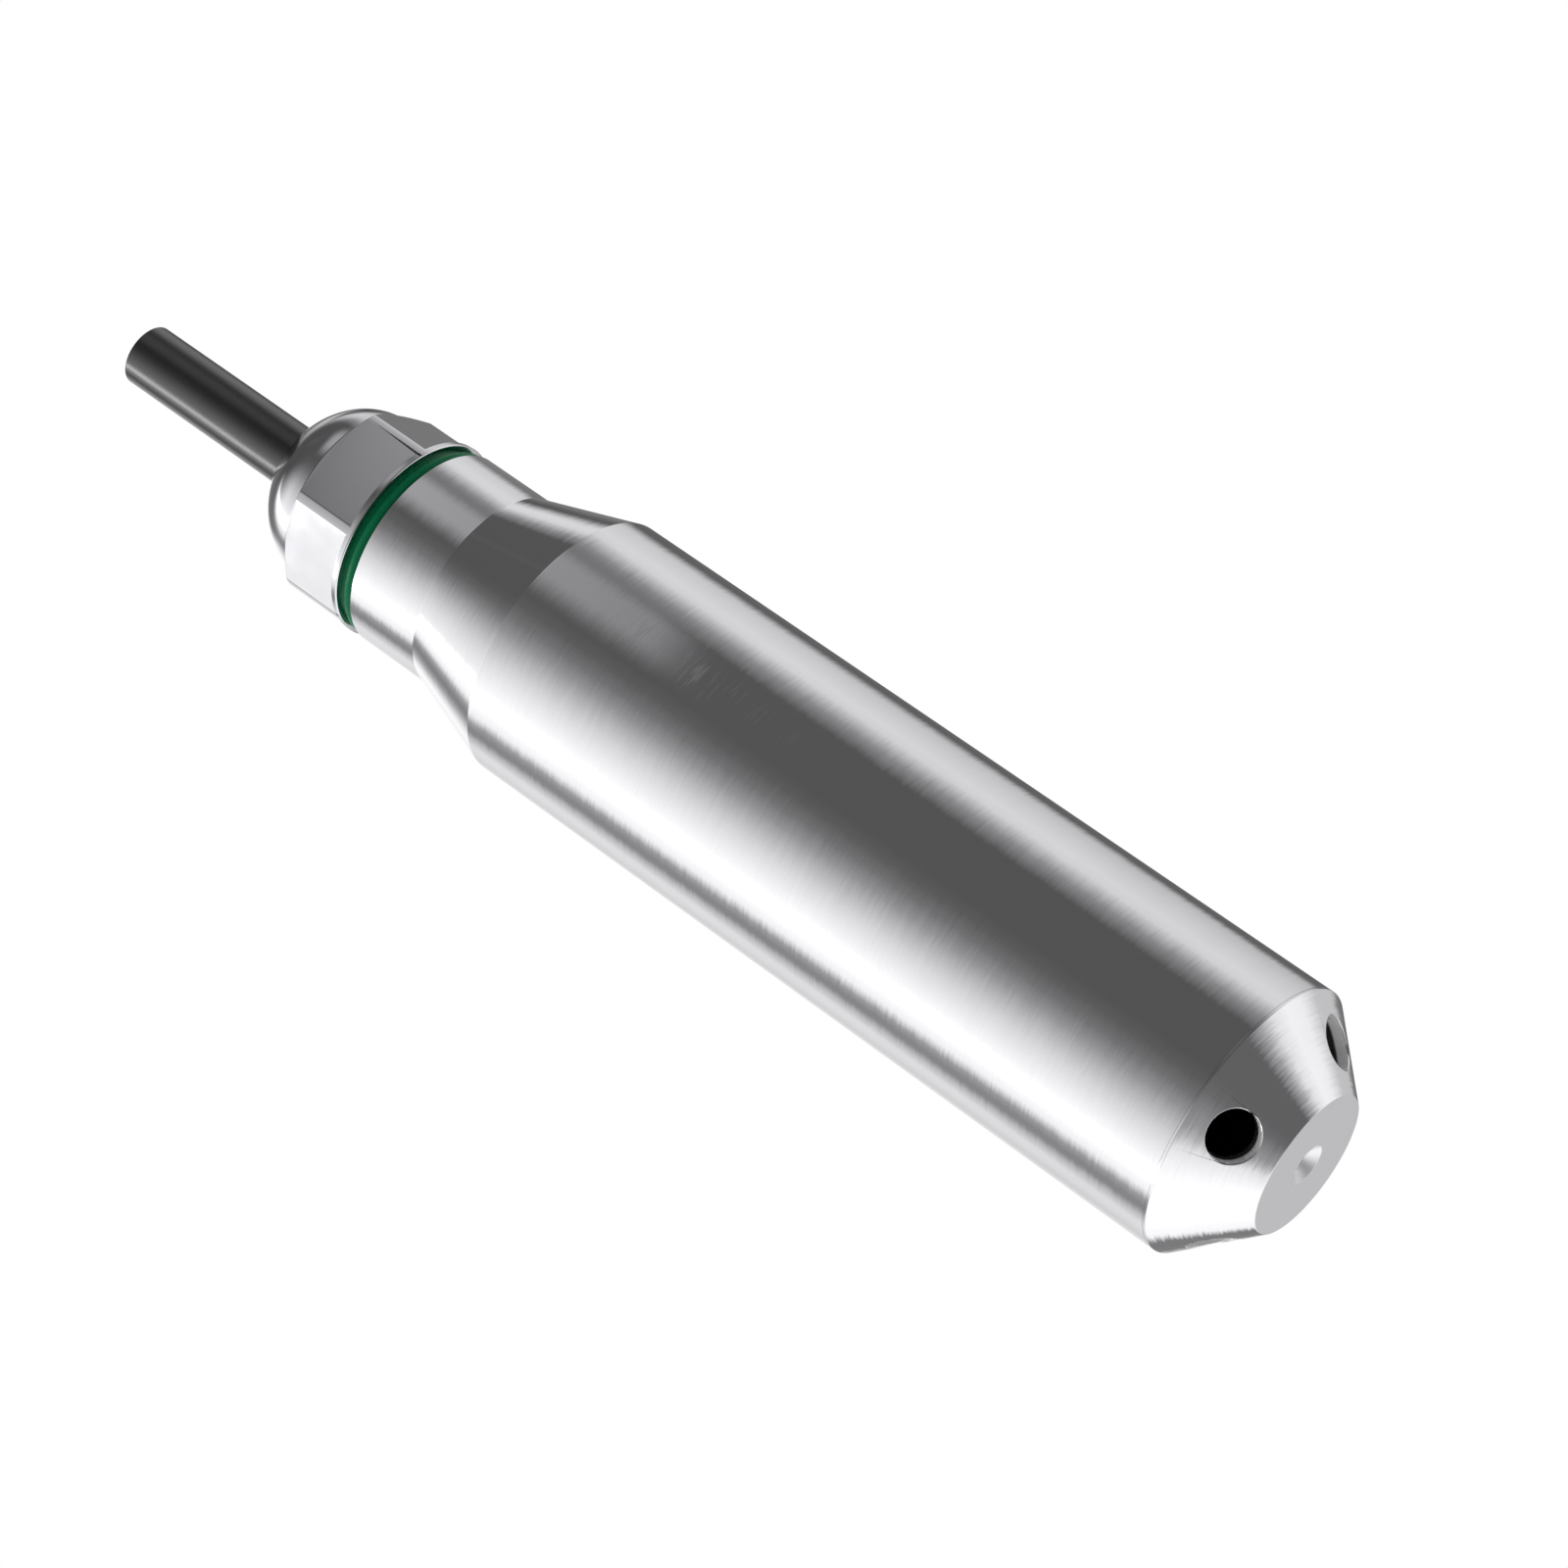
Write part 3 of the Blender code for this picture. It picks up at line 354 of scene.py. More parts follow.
def lathe_steel(name, colour, slant, streaks=0.065, scratches=0.05, roughness=0.03):
    """Turned stainless steel: streaks round the axis that lean a little each way, and dull hair scratches."""
    made, tree, shader = material(name, colour, metallic=1.0)
    faces = node(tree, "ShaderNodeNewGeometry").outputs["Normal"]
    round_it = node(tree, "ShaderNodeTangent", direction_type="RADIAL", axis="Z").outputs[0]
    sides = {0: faces, 1: round_it}
    up_it = node(tree, "ShaderNodeVectorMath", sides, operation="CROSS_PRODUCT").outputs[0]
    leaning = faces
    marks = ((round_it, 3.6, 3.6, streaks), (up_it, 5.0, 3.0, 0.01 * streaks))
    for side, along, arcs, lean in marks:
        mark = noise(tree, round_the_axis(tree, along, arcs, slant), 1.0, 3.0, 0.65)
        strength = calc(tree, "MULTIPLY", calc(tree, "SUBTRACT", mark, 0.5), lean)
        push = {0: leaning, 1: scaled(tree, side, strength)}
        leaning = node(tree, "ShaderNodeVectorMath", push, operation="ADD").outputs[0]
    leaning = node(tree, "ShaderNodeVectorMath", {0: leaning}, operation="NORMALIZE").outputs[0]
    plug(tree, shader.inputs["Normal"], leaning)
    cloud = noise(tree, place(tree), 0.12, 2.0)
    hair = noise(tree, round_the_axis(tree, 4.5, 5.0, slant), 1.0, 1.0)
    dull = calc(tree, "MULTIPLY", spread(tree, hair, 0.52, 0.74), scratches)
    polish = spread(tree, cloud, 0.2, 0.8, roughness, roughness * 1.5)
    plug(tree, shader.inputs["Roughness"], calc(tree, "ADD", polish, dull))
    mottled(tree, shader, cloud, colour, 0.96)
    return made


def port_wall_painted_light(name, bright, dark):
    """The wall of a hole in the nose cone: painted pale at its mouth as a painted highlight, and painted near
    black further in as painted shade.
    """
    made, tree, shader = material(name, bright, metallic=0.1)
    _, radius, height = turned_place(tree)
    slope = (PROBE_RADIUS - NOSE_FLAT_RADIUS) / NOSE_HEIGHT
    cone = calc(tree, "MULTIPLY_ADD", height, slope, 1000 * NOSE_FLAT_RADIUS)
    depth = calc(tree, "MULTIPLY", calc(tree, "SUBTRACT", cone, radius), 1 / math.hypot(1, slope))
    # Painted light: near white by the mouth as a painted reflection, near black deeper in as painted shade
    inner = spread(tree, depth, *PORT_SHADE_DEPTH)
    plug(tree, shader.inputs["Base Color"], blend(tree, inner, (*bright, 1), (*dark, 1)))
    cloud = noise(tree, place(tree), 3.0)
    plug(tree, shader.inputs["Roughness"], spread(tree, cloud, 0.2, 0.8, 0.40, 0.55))
    return made


def milled_steel(name, colour, roughness=0.10):
    """Milled and polished stainless steel, almost plain."""
    made, tree, shader = material(name, colour, metallic=1.0)
    cloud = noise(tree, place(tree), 0.45, 3.0)
    wave = noise(tree, place(tree, (1, 1, 0.25)), 0.9, 2.0)
    dented(tree, shader, wave, 1.5e-6)
    plug(tree, shader.inputs["Roughness"], spread(tree, cloud, 0.2, 0.8, roughness, roughness * 1.5))
    mottled(tree, shader, cloud, colour, 0.95)
    return made


def drawn_metal(name, colour, roughness):
    """A small metal part: drawn, plated or rolled."""
    made, tree, shader = material(name, colour, metallic=1.0)
    marks = noise(tree, place(tree, (1, 1, 0.1)), 6.0, 2.0)
    dented(tree, shader, marks, 2e-6)
    plug(tree, shader.inputs["Roughness"], spread(tree, marks, 0.2, 0.8, roughness, roughness * 1.4))
    mottled(tree, shader, marks, colour, 0.92)
    return made


def rubber(name, colour, roughness=0.42, tooth=4e-6, specular=0.5):
    """Moulded rubber, with a fine tooth."""
    made, tree, shader = material(name, colour, Specular_IOR_Level=specular)
    patch = noise(tree, place(tree), 0.8, 2.0)
    dented(tree, shader, noise(tree, place(tree), 9.0, 3.0), tooth)
    plug(tree, shader.inputs["Roughness"], spread(tree, patch, 0.2, 0.8, roughness, roughness + 0.1))
    mottled(tree, shader, patch, colour, 0.8)
    return made


def plastic(name, colour, roughness=0.4, extruded=False, ior=1.5):
    """Moulded or extruded plastic, with its tooth drawn out along an extrusion."""
    made, tree, shader = material(name, colour, IOR=ior)
    tooth = noise(tree, place(tree, (1, 1, 0.04 if extruded else 1)), 7.0, 3.0)
    patch = noise(tree, place(tree), 0.6, 2.0)
    dented(tree, shader, tooth, 3e-6)
    plug(tree, shader.inputs["Roughness"], spread(tree, tooth, 0.2, 0.8, roughness, roughness + 0.08))
    mottled(tree, shader, patch, colour, 0.86)
    return made


def woven_braid():
    """Tinned copper braid: two sets of strands that cross."""
    made, tree, shader = material("braid_weave", (0.70, 0.68, 0.66), metallic=1.0)
    split = node(tree, "ShaderNodeSeparateXYZ", {0: place(tree)})
    turn = calc(tree, "ARCTAN2", split.outputs[1], split.outputs[0])
    strands = []
    for way in (1, -1):
        wound = calc(tree, "MULTIPLY", turn, 12.0)
        strands.append(calc(tree, "SINE", calc(tree, "MULTIPLY_ADD", split.outputs[2], 3.0 * way, wound)))
    weave = calc(tree, "MAXIMUM", *strands)
    dented(tree, shader, weave, 3e-5)
    # Painted shade: the braid is darker in the hollows between its strands
    shade = blend(tree, spread(tree, weave, -0.6, 0.9), (0.30, 0.28, 0.26, 1), (0.80, 0.78, 0.75, 1))
    plug(tree, shader.inputs["Base Color"], shade)
    plug(tree, shader.inputs["Roughness"], spread(tree, weave, -1, 1, 0.5, 0.3))
    return made


def printed_board():
    """Green solder mask over copper tracks."""
    made, tree, shader = material("board_mask", (0.01, 0.12, 0.06), roughness=0.35)
    tracks = node(tree, "ShaderNodeTexBrick", {"Vector": place(tree, (1, 0, 1)), "Scale": 0.35})
    raised = spread(tree, tracks.outputs["Fac"], 0.2, 0.8)
    dented(tree, shader, raised, 3e-5)
    mask = blend(tree, raised, (0.008, 0.10, 0.045, 1), (0.03, 0.20, 0.09, 1))
    plug(tree, shader.inputs["Base Color"], mask)
    return made


def finishes():
    """Every finish by its short name."""
    return {
        "tube": lathe_steel("turned_steel", (0.70, 0.70, 0.72), -0.6),
        "nose": lathe_steel("nose_steel", (0.70, 0.70, 0.72), 0.9, streaks=0.13),
        "faced": lathe_steel(
            "faced_steel", (0.70, 0.70, 0.72), 0.9, streaks=0.01, scratches=0.0, roughness=0.10
        ),
        # The centre port's walls take a lighter steel than the tube's, a painted highlight that makes them
        # look bright
        "bored": lathe_steel(
            "bored_steel", (0.80, 0.80, 0.82), 0.0, streaks=0.015, scratches=0.0, roughness=0.42
        ),
        # The side ports' walls: a painted highlight at the mouth and painted shade deeper in
        "bore": port_wall_painted_light("port_wall_painted_light", (0.97, 0.97, 0.98), (0.03, 0.03, 0.03)),
        # The chamber's near-black colour is painted shade, so that the ports look dark inside
        "chamber": drawn_metal("chamber_painted_shade", (0.03, 0.03, 0.03), 0.6),
        "thread": drawn_metal("thread_steel", (0.66, 0.66, 0.68), 0.14),
        "nut": milled_steel("nut_steel", (0.61, 0.61, 0.63)),
        "steel": drawn_metal("inner_steel", (0.62, 0.61, 0.62), 0.22),
        "bright": drawn_metal("bright_foil", (0.75, 0.75, 0.76), 0.12),
        "brass": drawn_metal("turned_brass", (0.75, 0.58, 0.25), 0.25),
        "gold": drawn_metal("gold_plate", (0.90, 0.68, 0.28), 0.18),
        "copper": drawn_metal("bare_copper", (0.85, 0.42, 0.25), 0.3),
        "braid": woven_braid(),
        "rubber": rubber("black_rubber", (0.02, 0.02, 0.02)),
        "green": rubber("green_rubber", (0.002, 0.19, 0.075), 0.3, tooth=0.0, specular=0.12),
        "jacket": plastic("cable_sheath", (0.012, 0.012, 0.013), 0.21, extruded=True, ior=1.8),
        "filler": plastic("cable_filler", (0.30, 0.29, 0.27), 0.7, extruded=True),
        "resin": plastic("potting_resin", (0.03, 0.03, 0.03), 0.25),
        "film": plastic("insulating_film", (0.72, 0.50, 0.20), 0.25),
        "support": plastic("support_plastic", (0.80, 0.78, 0.72), 0.45),
        "chip": plastic("chip_case", (0.02, 0.02, 0.022), 0.45),
        "ceramic": plastic("glazed_ceramic", (0.85, 0.84, 0.80), 0.2),
        "glass": plastic("header_glass", (0.04, 0.07, 0.11), 0.08),
        "nylon": plastic("clear_nylon", (0.75, 0.76, 0.78), 0.25, extruded=True),
        "red": plastic("wire_red", (0.50, 0.02, 0.02), 0.35, extruded=True),
        "blue": plastic("wire_blue", (0.02, 0.06, 0.40), 0.35, extruded=True),
        "white": plastic("wire_white", (0.80, 0.80, 0.80), 0.35, extruded=True),
        "yellow": plastic("wire_yellow", (0.75, 0.55, 0.05), 0.35, extruded=True),
        "board": printed_board(),
    }


LOOKS = finishes()

# The solids that stay as they are, with their finishes
CAD_FINISHES = {
    "rubber": ("compression_bush", "carrier_o_ring", "capsule_o_ring"),
    "steel": ("thrust_washer", "sensor_carrier", "weld_ring", "capsule_body", "vent_pipe"),
    "bright": ("snap_ring", "diaphragm"),
    "gold": ("header_pin_1", "header_pin_2", "header_pin_3", "header_pin_4"),
    "glass": ("glass_header",),
    "brass": ("strain_relief_ferrule",),
    "resin": ("potting_plug",),
    "film": ("insulating_sleeve",),
    "support": ("front_support", "rear_support"),
    "board": ("circuit_board",),
    "chip": (
        "converter_chip",
        "amplifier_chip",
        "memory_chip",
        "current_loop_transistor",
        "filter_inductor",
    ),
    "yellow": ("tantalum_capacitor", "capsule_lead_4"),
    "ceramic": ("surge_arrester",),
    "red": ("core_plus", "capsule_lead_1"),
    "blue": ("core_minus", "capsule_lead_3"),
    "white": ("capsule_lead_2",),
    "nylon": ("vent_tube",),
}


# Shapes


def rounded(corners, steps=4):
    """A section from (radius, height, edge) corners, each eased over its edge's length."""
    outline = []
    for index, (radius, height, edge) in enumerate(corners):
        here = Vector((radius, height))
        if not edge:
            outline.append(here)
            continue
        before = Vector(corners[index - 1][:2])
        after = Vector(corners[(index + 1) % len(corners)][:2])
        start = here + (before - here).normalized() * edge
        end = here + (after - here).normalized() * edge
        for step in range(steps + 1):
            t = step / steps
            outline.append(start.lerp(here, t).lerp(here.lerp(end, t), t))
    return outline


def turned(outline, steps=STEPS):
    """A closed solid, turned round Z from the corners of its section."""
    shape = bmesh.new()
    corners = [shape.verts.new((radius, 0.0, height)) for radius, height in outline]
    pairs = zip(corners, corners[1:] + corners[:1])
    sides = [shape.edges.new(pair) for pair in pairs if max(pair[0].co.x, pair[1].co.x) > 0]
    bmesh.ops.spin(
        shape, geom=sides, cent=(0, 0, 0), axis=(0, 0, 1), angle=math.tau, steps=steps, use_merge=True
    )
    bmesh.ops.remove_doubles(shape, verts=shape.verts, dist=1e-7)
    return shape


def ring_section(centre_radius, height, radial, axial, steps=32):
    """The section of a squeezed round cord."""
    angles = [math.tau * step / steps for step in range(steps)]
    return [
        (centre_radius + radial * math.cos(a), height + axial * math.sin(a)) for a in angles
    ]


def as_mesh(name, shape, look):
    """Turns a bmesh into an object with one finish."""
    bmesh.ops.recalc_face_normals(shape, faces=shape.faces)
    mesh = bpy.data.meshes.new(name)
    shape.to_mesh(mesh)
    shape.free()
    mesh.materials.append(LOOKS[look])
    made = bpy.data.objects.new(name, mesh)
    bpy.context.collection.objects.link(made)
    return made


def break_edges(mesh, width):
    """Bevels the rims between two finishes, and then the edges that are still sharp."""
    shape = bmesh.new()
    shape.from_mesh(mesh)
    bmesh.ops.remove_doubles(shape, verts=shape.verts, dist=FINE_EDGE / 8)
    bmesh.ops.dissolve_degenerate(shape, edges=shape.edges, dist=FINE_EDGE / 8)
    for rims, offset in ((True, PORT_EDGE), (False, width)):
        sharp = []
        for edge in shape.edges:
            if edge.is_manifold and edge.calc_face_angle() > SHARP_ANGLE:
                looks = {face.material_index for face in edge.link_faces}
                if len(looks) == 2 or not rims:
                    sharp.append(edge)
        if sharp:
            bmesh.ops.bevel(
                shape,
                geom=sharp,
                offset=offset,
                offset_type="OFFSET",
                segments=2,
                profile=0.5,
                affect="EDGES",
                material=0,
            )
    shape.to_mesh(mesh)
    shape.free()


def even_normals(mesh):
    """Gives each corner the mean normal of the faces there that lie nearly level with its own.

    The facets of a turned surface are first turned round the axis to the corner.
    """
    bearings = [math.atan2(vertex.co.y, vertex.co.x) for vertex in mesh.vertices]
    around = [[] for _ in mesh.vertices]
    faces = []
    for face in mesh.polygons:
        normal = face.normal.copy()
        outward = 1 if normal.xy.dot(face.center.xy) > 0 else -1
        bearing = math.atan2(outward * normal.y, outward * normal.x)
        turns = [math.remainder(bearings[vertex] - bearing, math.tau) for vertex in face.vertices]
        facet = max(map(abs, turns)) < FACET_TURN
        for vertex, turn in zip(face.vertices, turns):
            around[vertex].append((face.index, turn if facet else 0.0))
        faces.append((normal, min(face.area / BROAD_AREA, 1) ** 2))
    level = math.cos(SHARP_ANGLE)
    corners = []
    for face in mesh.polygons:
        for vertex in face.vertices:
            turned_normals = {}
            for other, turn in around[vertex]:
                normal, weight = faces[other]
                if turn:
                    normal = Quaternion((0, 0, 1), turn) @ normal
                turned_normals[other] = normal, weight
            own = turned_normals[face.index][0]
            total = Vector()
            for normal, weight in turned_normals.values():
                if normal.dot(own) > level:
                    total += normal * weight
            corners.append(total.normalized() if total.length > 0 else own)
    mesh.shade_smooth()
    mesh.normals_split_custom_set(corners)


def add(name, shape, look, cutters=(), cut_look=None, edge=FINE_EDGE):
    """Puts a bmesh into the scene less the cutters, smooth but for its sharp edges."""
    made = as_mesh(name, shape, look)
    holders = [as_mesh("cutter", cutter, cut_look or look) for cutter in cutters]
    for holder in holders:
        modifier = made.modifiers.new("cut", "BOOLEAN")
        modifier.operation = "DIFFERENCE"
        modifier.solver = "EXACT"
        modifier.material_mode = "TRANSFER"
        modifier.object = holder
    if holders:
        graph = bpy.context.evaluated_depsgraph_get()
        cut = bpy.data.meshes.new_from_object(made.evaluated_get(graph))
        made.modifiers.clear()
        made.data = cut
        break_edges(cut, edge)
    for holder in holders:
        bpy.data.objects.remove(holder)
    even_normals(made.data)
    return made


def thread_ridge(name, crest, low, high, look):
    """A right-handed thread: one ridge wound round the axis, running out at both ends."""
    shape = bmesh.new()
    turns = (high - low) / THREAD_PITCH - 1
    count = round(turns * SMALL_STEPS)
    run_out = SMALL_STEPS / 4
    root = crest - THREAD_DEPTH
    foot = root - THREAD_SUNK
    rings = []
    for step in range(count + 1):
        angle = math.tau * step / SMALL_STEPS
        height = low + THREAD_PITCH / 2 + THREAD_PITCH * step / SMALL_STEPS
        ease = min(1.0, step / run_out, (count - step) / run_out)
        top = root + (crest - root) * ease
        section = (
            (foot, -THREAD_HALF_FOOT),
            (top, -THREAD_HALF_CREST),
            (top, THREAD_HALF_CREST),
            (foot, THREAD_HALF_FOOT),
        )
        cos, sin = math.cos(angle), math.sin(angle)
        rings.append([shape.verts.new((r * cos, r * sin, height + z)) for r, z in section])
    for lower, upper in zip(rings, rings[1:]):
        for side in range(4):
            after = (side + 1) % 4
            shape.faces.new((lower[side], lower[after], upper[after], upper[side]))
    shape.faces.new(rings[0])
    shape.faces.new(rings[-1][::-1])
    return add(name, shape, look)


def side_port(turn):
    """A drill, square to the nose cone at the middle of its slant."""
    reach = NOSE_WALL + 2 * SIDE_PORT_RADIUS
    clear = SIDE_PORT_RADIUS
    length = reach + clear
    outline = [(0.0, 0.0), (SIDE_PORT_RADIUS, 0.0), (SIDE_PORT_RADIUS, length), (0.0, length)]
    shape = turned(outline, 2 * SMALL_STEPS)
    lean = math.atan2(PROBE_RADIUS - NOSE_FLAT_RADIUS, NOSE_HEIGHT)
    middle = Vector(((PROBE_RADIUS + NOSE_FLAT_RADIUS) / 2, 0, NOSE_HEIGHT / 2))
    inward = Vector((-math.cos(lean), 0, math.sin(lean)))
    lie = (
        Matrix.Rotation(turn, 4, "Z")
        @ Matrix.Translation(middle - inward * clear)
        @ inward.to_track_quat("Z", "Y").to_matrix().to_4x4()
    )
    bmesh.ops.transform(shape, matrix=lie, verts=shape.verts)
    return shape


def nose_cap():
    """Nose cap with its ports and its threaded spigot."""
    slope = (PROBE_RADIUS - NOSE_FLAT_RADIUS) / NOSE_HEIGHT
    slant = math.hypot(PROBE_RADIUS - NOSE_FLAT_RADIUS, NOSE_HEIGHT)
    chamber_start = NOSE_FLAT_RADIUS + slope * NOSE_WALL - NOSE_WALL * slant / NOSE_HEIGHT
    chamber_corner = NOSE_WALL + (CHAMBER_RADIUS - chamber_start) / slope
    groove_low = CAP_RING_LOW.z - CAP_GROOVE_PLAY
    groove_high = CAP_RING_HIGH.z + CAP_GROOVE_PLAY
    groove_floor = CAP_RING_HIGH.x - 2 * CAP_RING_SECTION
    thread_start = groove_high + CAP_THREAD_START
    core = SPIGOT_RADIUS - THREAD_DEPTH
    corners = [
        (CENTRE_BORE_RADIUS, CENTRE_PORT_RADIUS - CENTRE_BORE_RADIUS, FINE_EDGE),
        (CENTRE_PORT_RADIUS, 0.0, FINE_EDGE),
        (NOSE_FLAT_RADIUS, 0.0, FINE_EDGE),
        (PROBE_RADIUS, NOSE_HEIGHT, NOSE_EDGE),
        (PROBE_RADIUS, TUBE_BOTTOM, 0),
        (SPIGOT_RADIUS, TUBE_BOTTOM, 0),
        (SPIGOT_RADIUS, groove_low, FINE_EDGE),
        (groove_floor, groove_low, 0),
        (groove_floor, groove_high, 0),
        (SPIGOT_RADIUS, groove_high, FINE_EDGE),
        (SPIGOT_RADIUS, groove_high + CAP_LAND, FINE_EDGE),
        (core, thread_start, 0),
        (core, SPIGOT_TOP - SPIGOT_CHAMFER, 0),
        (core - SPIGOT_CHAMFER, SPIGOT_TOP, 0),
        (CHAMBER_RADIUS, SPIGOT_TOP, FINE_EDGE),
        (CHAMBER_RADIUS, chamber_corner, 0),
        (chamber_start, NOSE_WALL, 0),
        (CENTRE_BORE_RADIUS, NOSE_WALL, FINE_EDGE),
    ]
    drills = [side_port(math.tau * port / SIDE_PORTS) for port in range(SIDE_PORTS)]
    # The drilled walls take the bore finish, with its painted highlight and painted shade
    piece = add("nose_cap_shell", turned(rounded(corners)), "nose", drills, "bore")
    slots = {}
    for look in ("chamber", "bored", "faced"):
        slots[look] = len(piece.data.materials)
        piece.data.materials.append(LOOKS[look])
    for face in piece.data.polygons:
        radius = face.center.xy.length
        inward = face.normal.xy.dot(face.center.xy) < -0.05 * radius
        # Inner chamber faces take the near-black painted shade
        if inward and radius < CHAMBER_RADIUS + FINE_EDGE and face.material_index == 0:
            # The centre port's walls take the lighter steel with its painted highlight
            in_port = radius < CENTRE_PORT_RADIUS + FINE_EDGE
            face.material_index = slots["bored" if in_port else "chamber"]
        elif face.normal.z < -0.99:
            face.material_index = slots["faced"]
    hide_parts("nose_cap")
    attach(piece, "nose_cap")
    thread = thread_ridge("nose_cap_thread", SPIGOT_RADIUS, thread_start, SPIGOT_TOP, "thread")
    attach(thread, "nose_cap")
    section = ring_section(
        CAP_RING_HIGH.x - CAP_RING_SECTION,
        (CAP_RING_LOW.z + CAP_RING_HIGH.z) / 2,
        CAP_RING_SECTION,
        CAP_RING_SECTION,
        24,
    )
    ring = add("cap_seal_ring", turned(section, STEPS // 2), "rubber")
    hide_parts("nose_cap_o_ring")
    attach(ring, "cap_seal")


def housing():
    """Tube, shoulder cone, neck and threaded stub."""
    core = THREAD_RADIUS - THREAD_DEPTH
    corners = [
        (BORE_RADIUS + BORE_CHAMFER, TUBE_BOTTOM, 0),
        (PROBE_RADIUS, TUBE_BOTTOM, 0),
        (PROBE_RADIUS, TUBE_TOP, FINE_EDGE),
        (NECK_RADIUS, NECK_BOTTOM, FINE_EDGE),
        (NECK_RADIUS, NECK_TOP, FINE_EDGE),
        (core, NECK_TOP, FINE_EDGE),
        (core, STUB_TOP - STUB_CHAMFER, 0),
        (core - STUB_CHAMFER, STUB_TOP, 0),
        (BUSH_SEAT_RADIUS, STUB_TOP, FINE_EDGE),
        (BUSH_SEAT_RADIUS, STUB_TOP - BUSH_SEAT_DEPTH, 0),
        (BUSH_TAPER_RADIUS, STUB_TOP - BUSH_TAPER_DEPTH, 0),
        (CABLE_HOLE_RADIUS, STUB_TOP - BUSH_TAPER_DEPTH, 0),
        (CABLE_HOLE_RADIUS, CAVITY_TOP, 0),
        (CAVITY_TOP_RADIUS, CAVITY_TOP, 0),
        (CAVITY_RADIUS, CAVITY_SHOULDER, 0),
        (CAVITY_RADIUS, BORE_TOP, 0),
        (BORE_RADIUS, BORE_TOP, 0),
        (BORE_RADIUS, TUBE_BOTTOM + BORE_CHAMFER, 0),
    ]
    piece = add("housing_shell", turned(rounded(corners)), "tube")
    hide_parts("housing")
    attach(piece, "probe")
    thread_start = NECK_TOP + STUB_THREAD_START
    thread = thread_ridge("stub_thread", THREAD_RADIUS, thread_start, STUB_TOP, "thread")
    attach(thread, "probe")


def gland_nut():
    """Domed hexagon nut, with a round collar below its flats."""
    apothem = NUT_FLAT_TO_FLAT / 2
    hex_top = NUT_BOTTOM + COLLAR_HEIGHT + HEX_LENGTH
    foot = hex_top + (NUT_BLANK_RADIUS - DOME_RADIUS) * math.tan(HEX_CHAMFER_ANGLE)
    mouth = CABLE_RADIUS + MOUTH_CLEARANCE
    lip = mouth + MOUTH_EDGE
    whole = DOME_HEIGHT / (1 - (lip / DOME_RADIUS) ** DOME_SQUARENESS) ** (1 / DOME_SQUARENESS)
    dome = []
    dome_steps = 40
    for step in range(dome_steps):
        angle = math.pi / 2 * step / dome_steps
        reach = DOME_RADIUS * math.cos(angle) ** (2 / DOME_SQUARENESS)
        if reach > lip:
            dome.append((reach, foot + whole * math.sin(angle) ** (2 / DOME_SQUARENESS), 0))
    top = foot + DOME_HEIGHT
    corners = [
        (NUT_THREAD_RADIUS, NUT_BOTTOM, FINE_EDGE),
        (NUT_BLANK_RADIUS, NUT_BOTTOM, FINE_EDGE),
        (NUT_BLANK_RADIUS, hex_top, 0),
        *dome,
        (lip, top, 0),
        (mouth, top - MOUTH_EDGE / 2, FINE_EDGE),
        (mouth, POCKET_ROOF, 0),
        (POCKET_RADIUS, POCKET_ROOF, 0),
        (POCKET_RADIUS, POCKET_FLOOR, 0),
        (NUT_THREAD_RADIUS, POCKET_FLOOR, 0),
    ]
    turn = Matrix.Rotation(NUT_TURN, 3, "Z")
    shape = turned(rounded(corners))
    bmesh.ops.rotate(shape, cent=(0, 0, 0), matrix=turn, verts=shape.verts)
    inner = apothem / math.cos(math.pi / 6)
    outer = inner + NUT_BLANK_RADIUS
    low = NUT_BOTTOM + COLLAR_HEIGHT
    flats = turned([(outer, low), (outer, top), (inner, top), (inner, low)], 6)
    bmesh.ops.rotate(flats, cent=(0, 0, 0), matrix=turn, verts=flats.verts)
    piece = add("gland_nut_shell", shape, "nut", [flats], edge=NUT_EDGE)
    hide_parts("gland_nut")
    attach(piece, "gland_nut")
    inside = GLAND_RING_RADIUS - GLAND_RING_DEPTH
    beside = GLAND_RING_RADIUS - GLAND_RING_RECESS
    section = [(inside, NUT_BOTTOM), (inside, NECK_TOP), (beside, NECK_TOP)]
    middle = (GLAND_RING_LOW + GLAND_RING_HIGH) / 2
    half = (GLAND_RING_HIGH - GLAND_RING_LOW) / 2
    bead_steps = 24
    for step in range(bead_steps + 1):
        angle = math.pi * (step / bead_steps - 0.5)
        radius = beside + GLAND_RING_RECESS * math.cos(angle)
        section.append((radius, middle + half * math.sin(angle)))
    section.append((beside, NUT_BOTTOM))
    ring = add("gland_seal_ring", turned(section), "green")
    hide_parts("gland_o_ring")
    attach(ring, "probe")


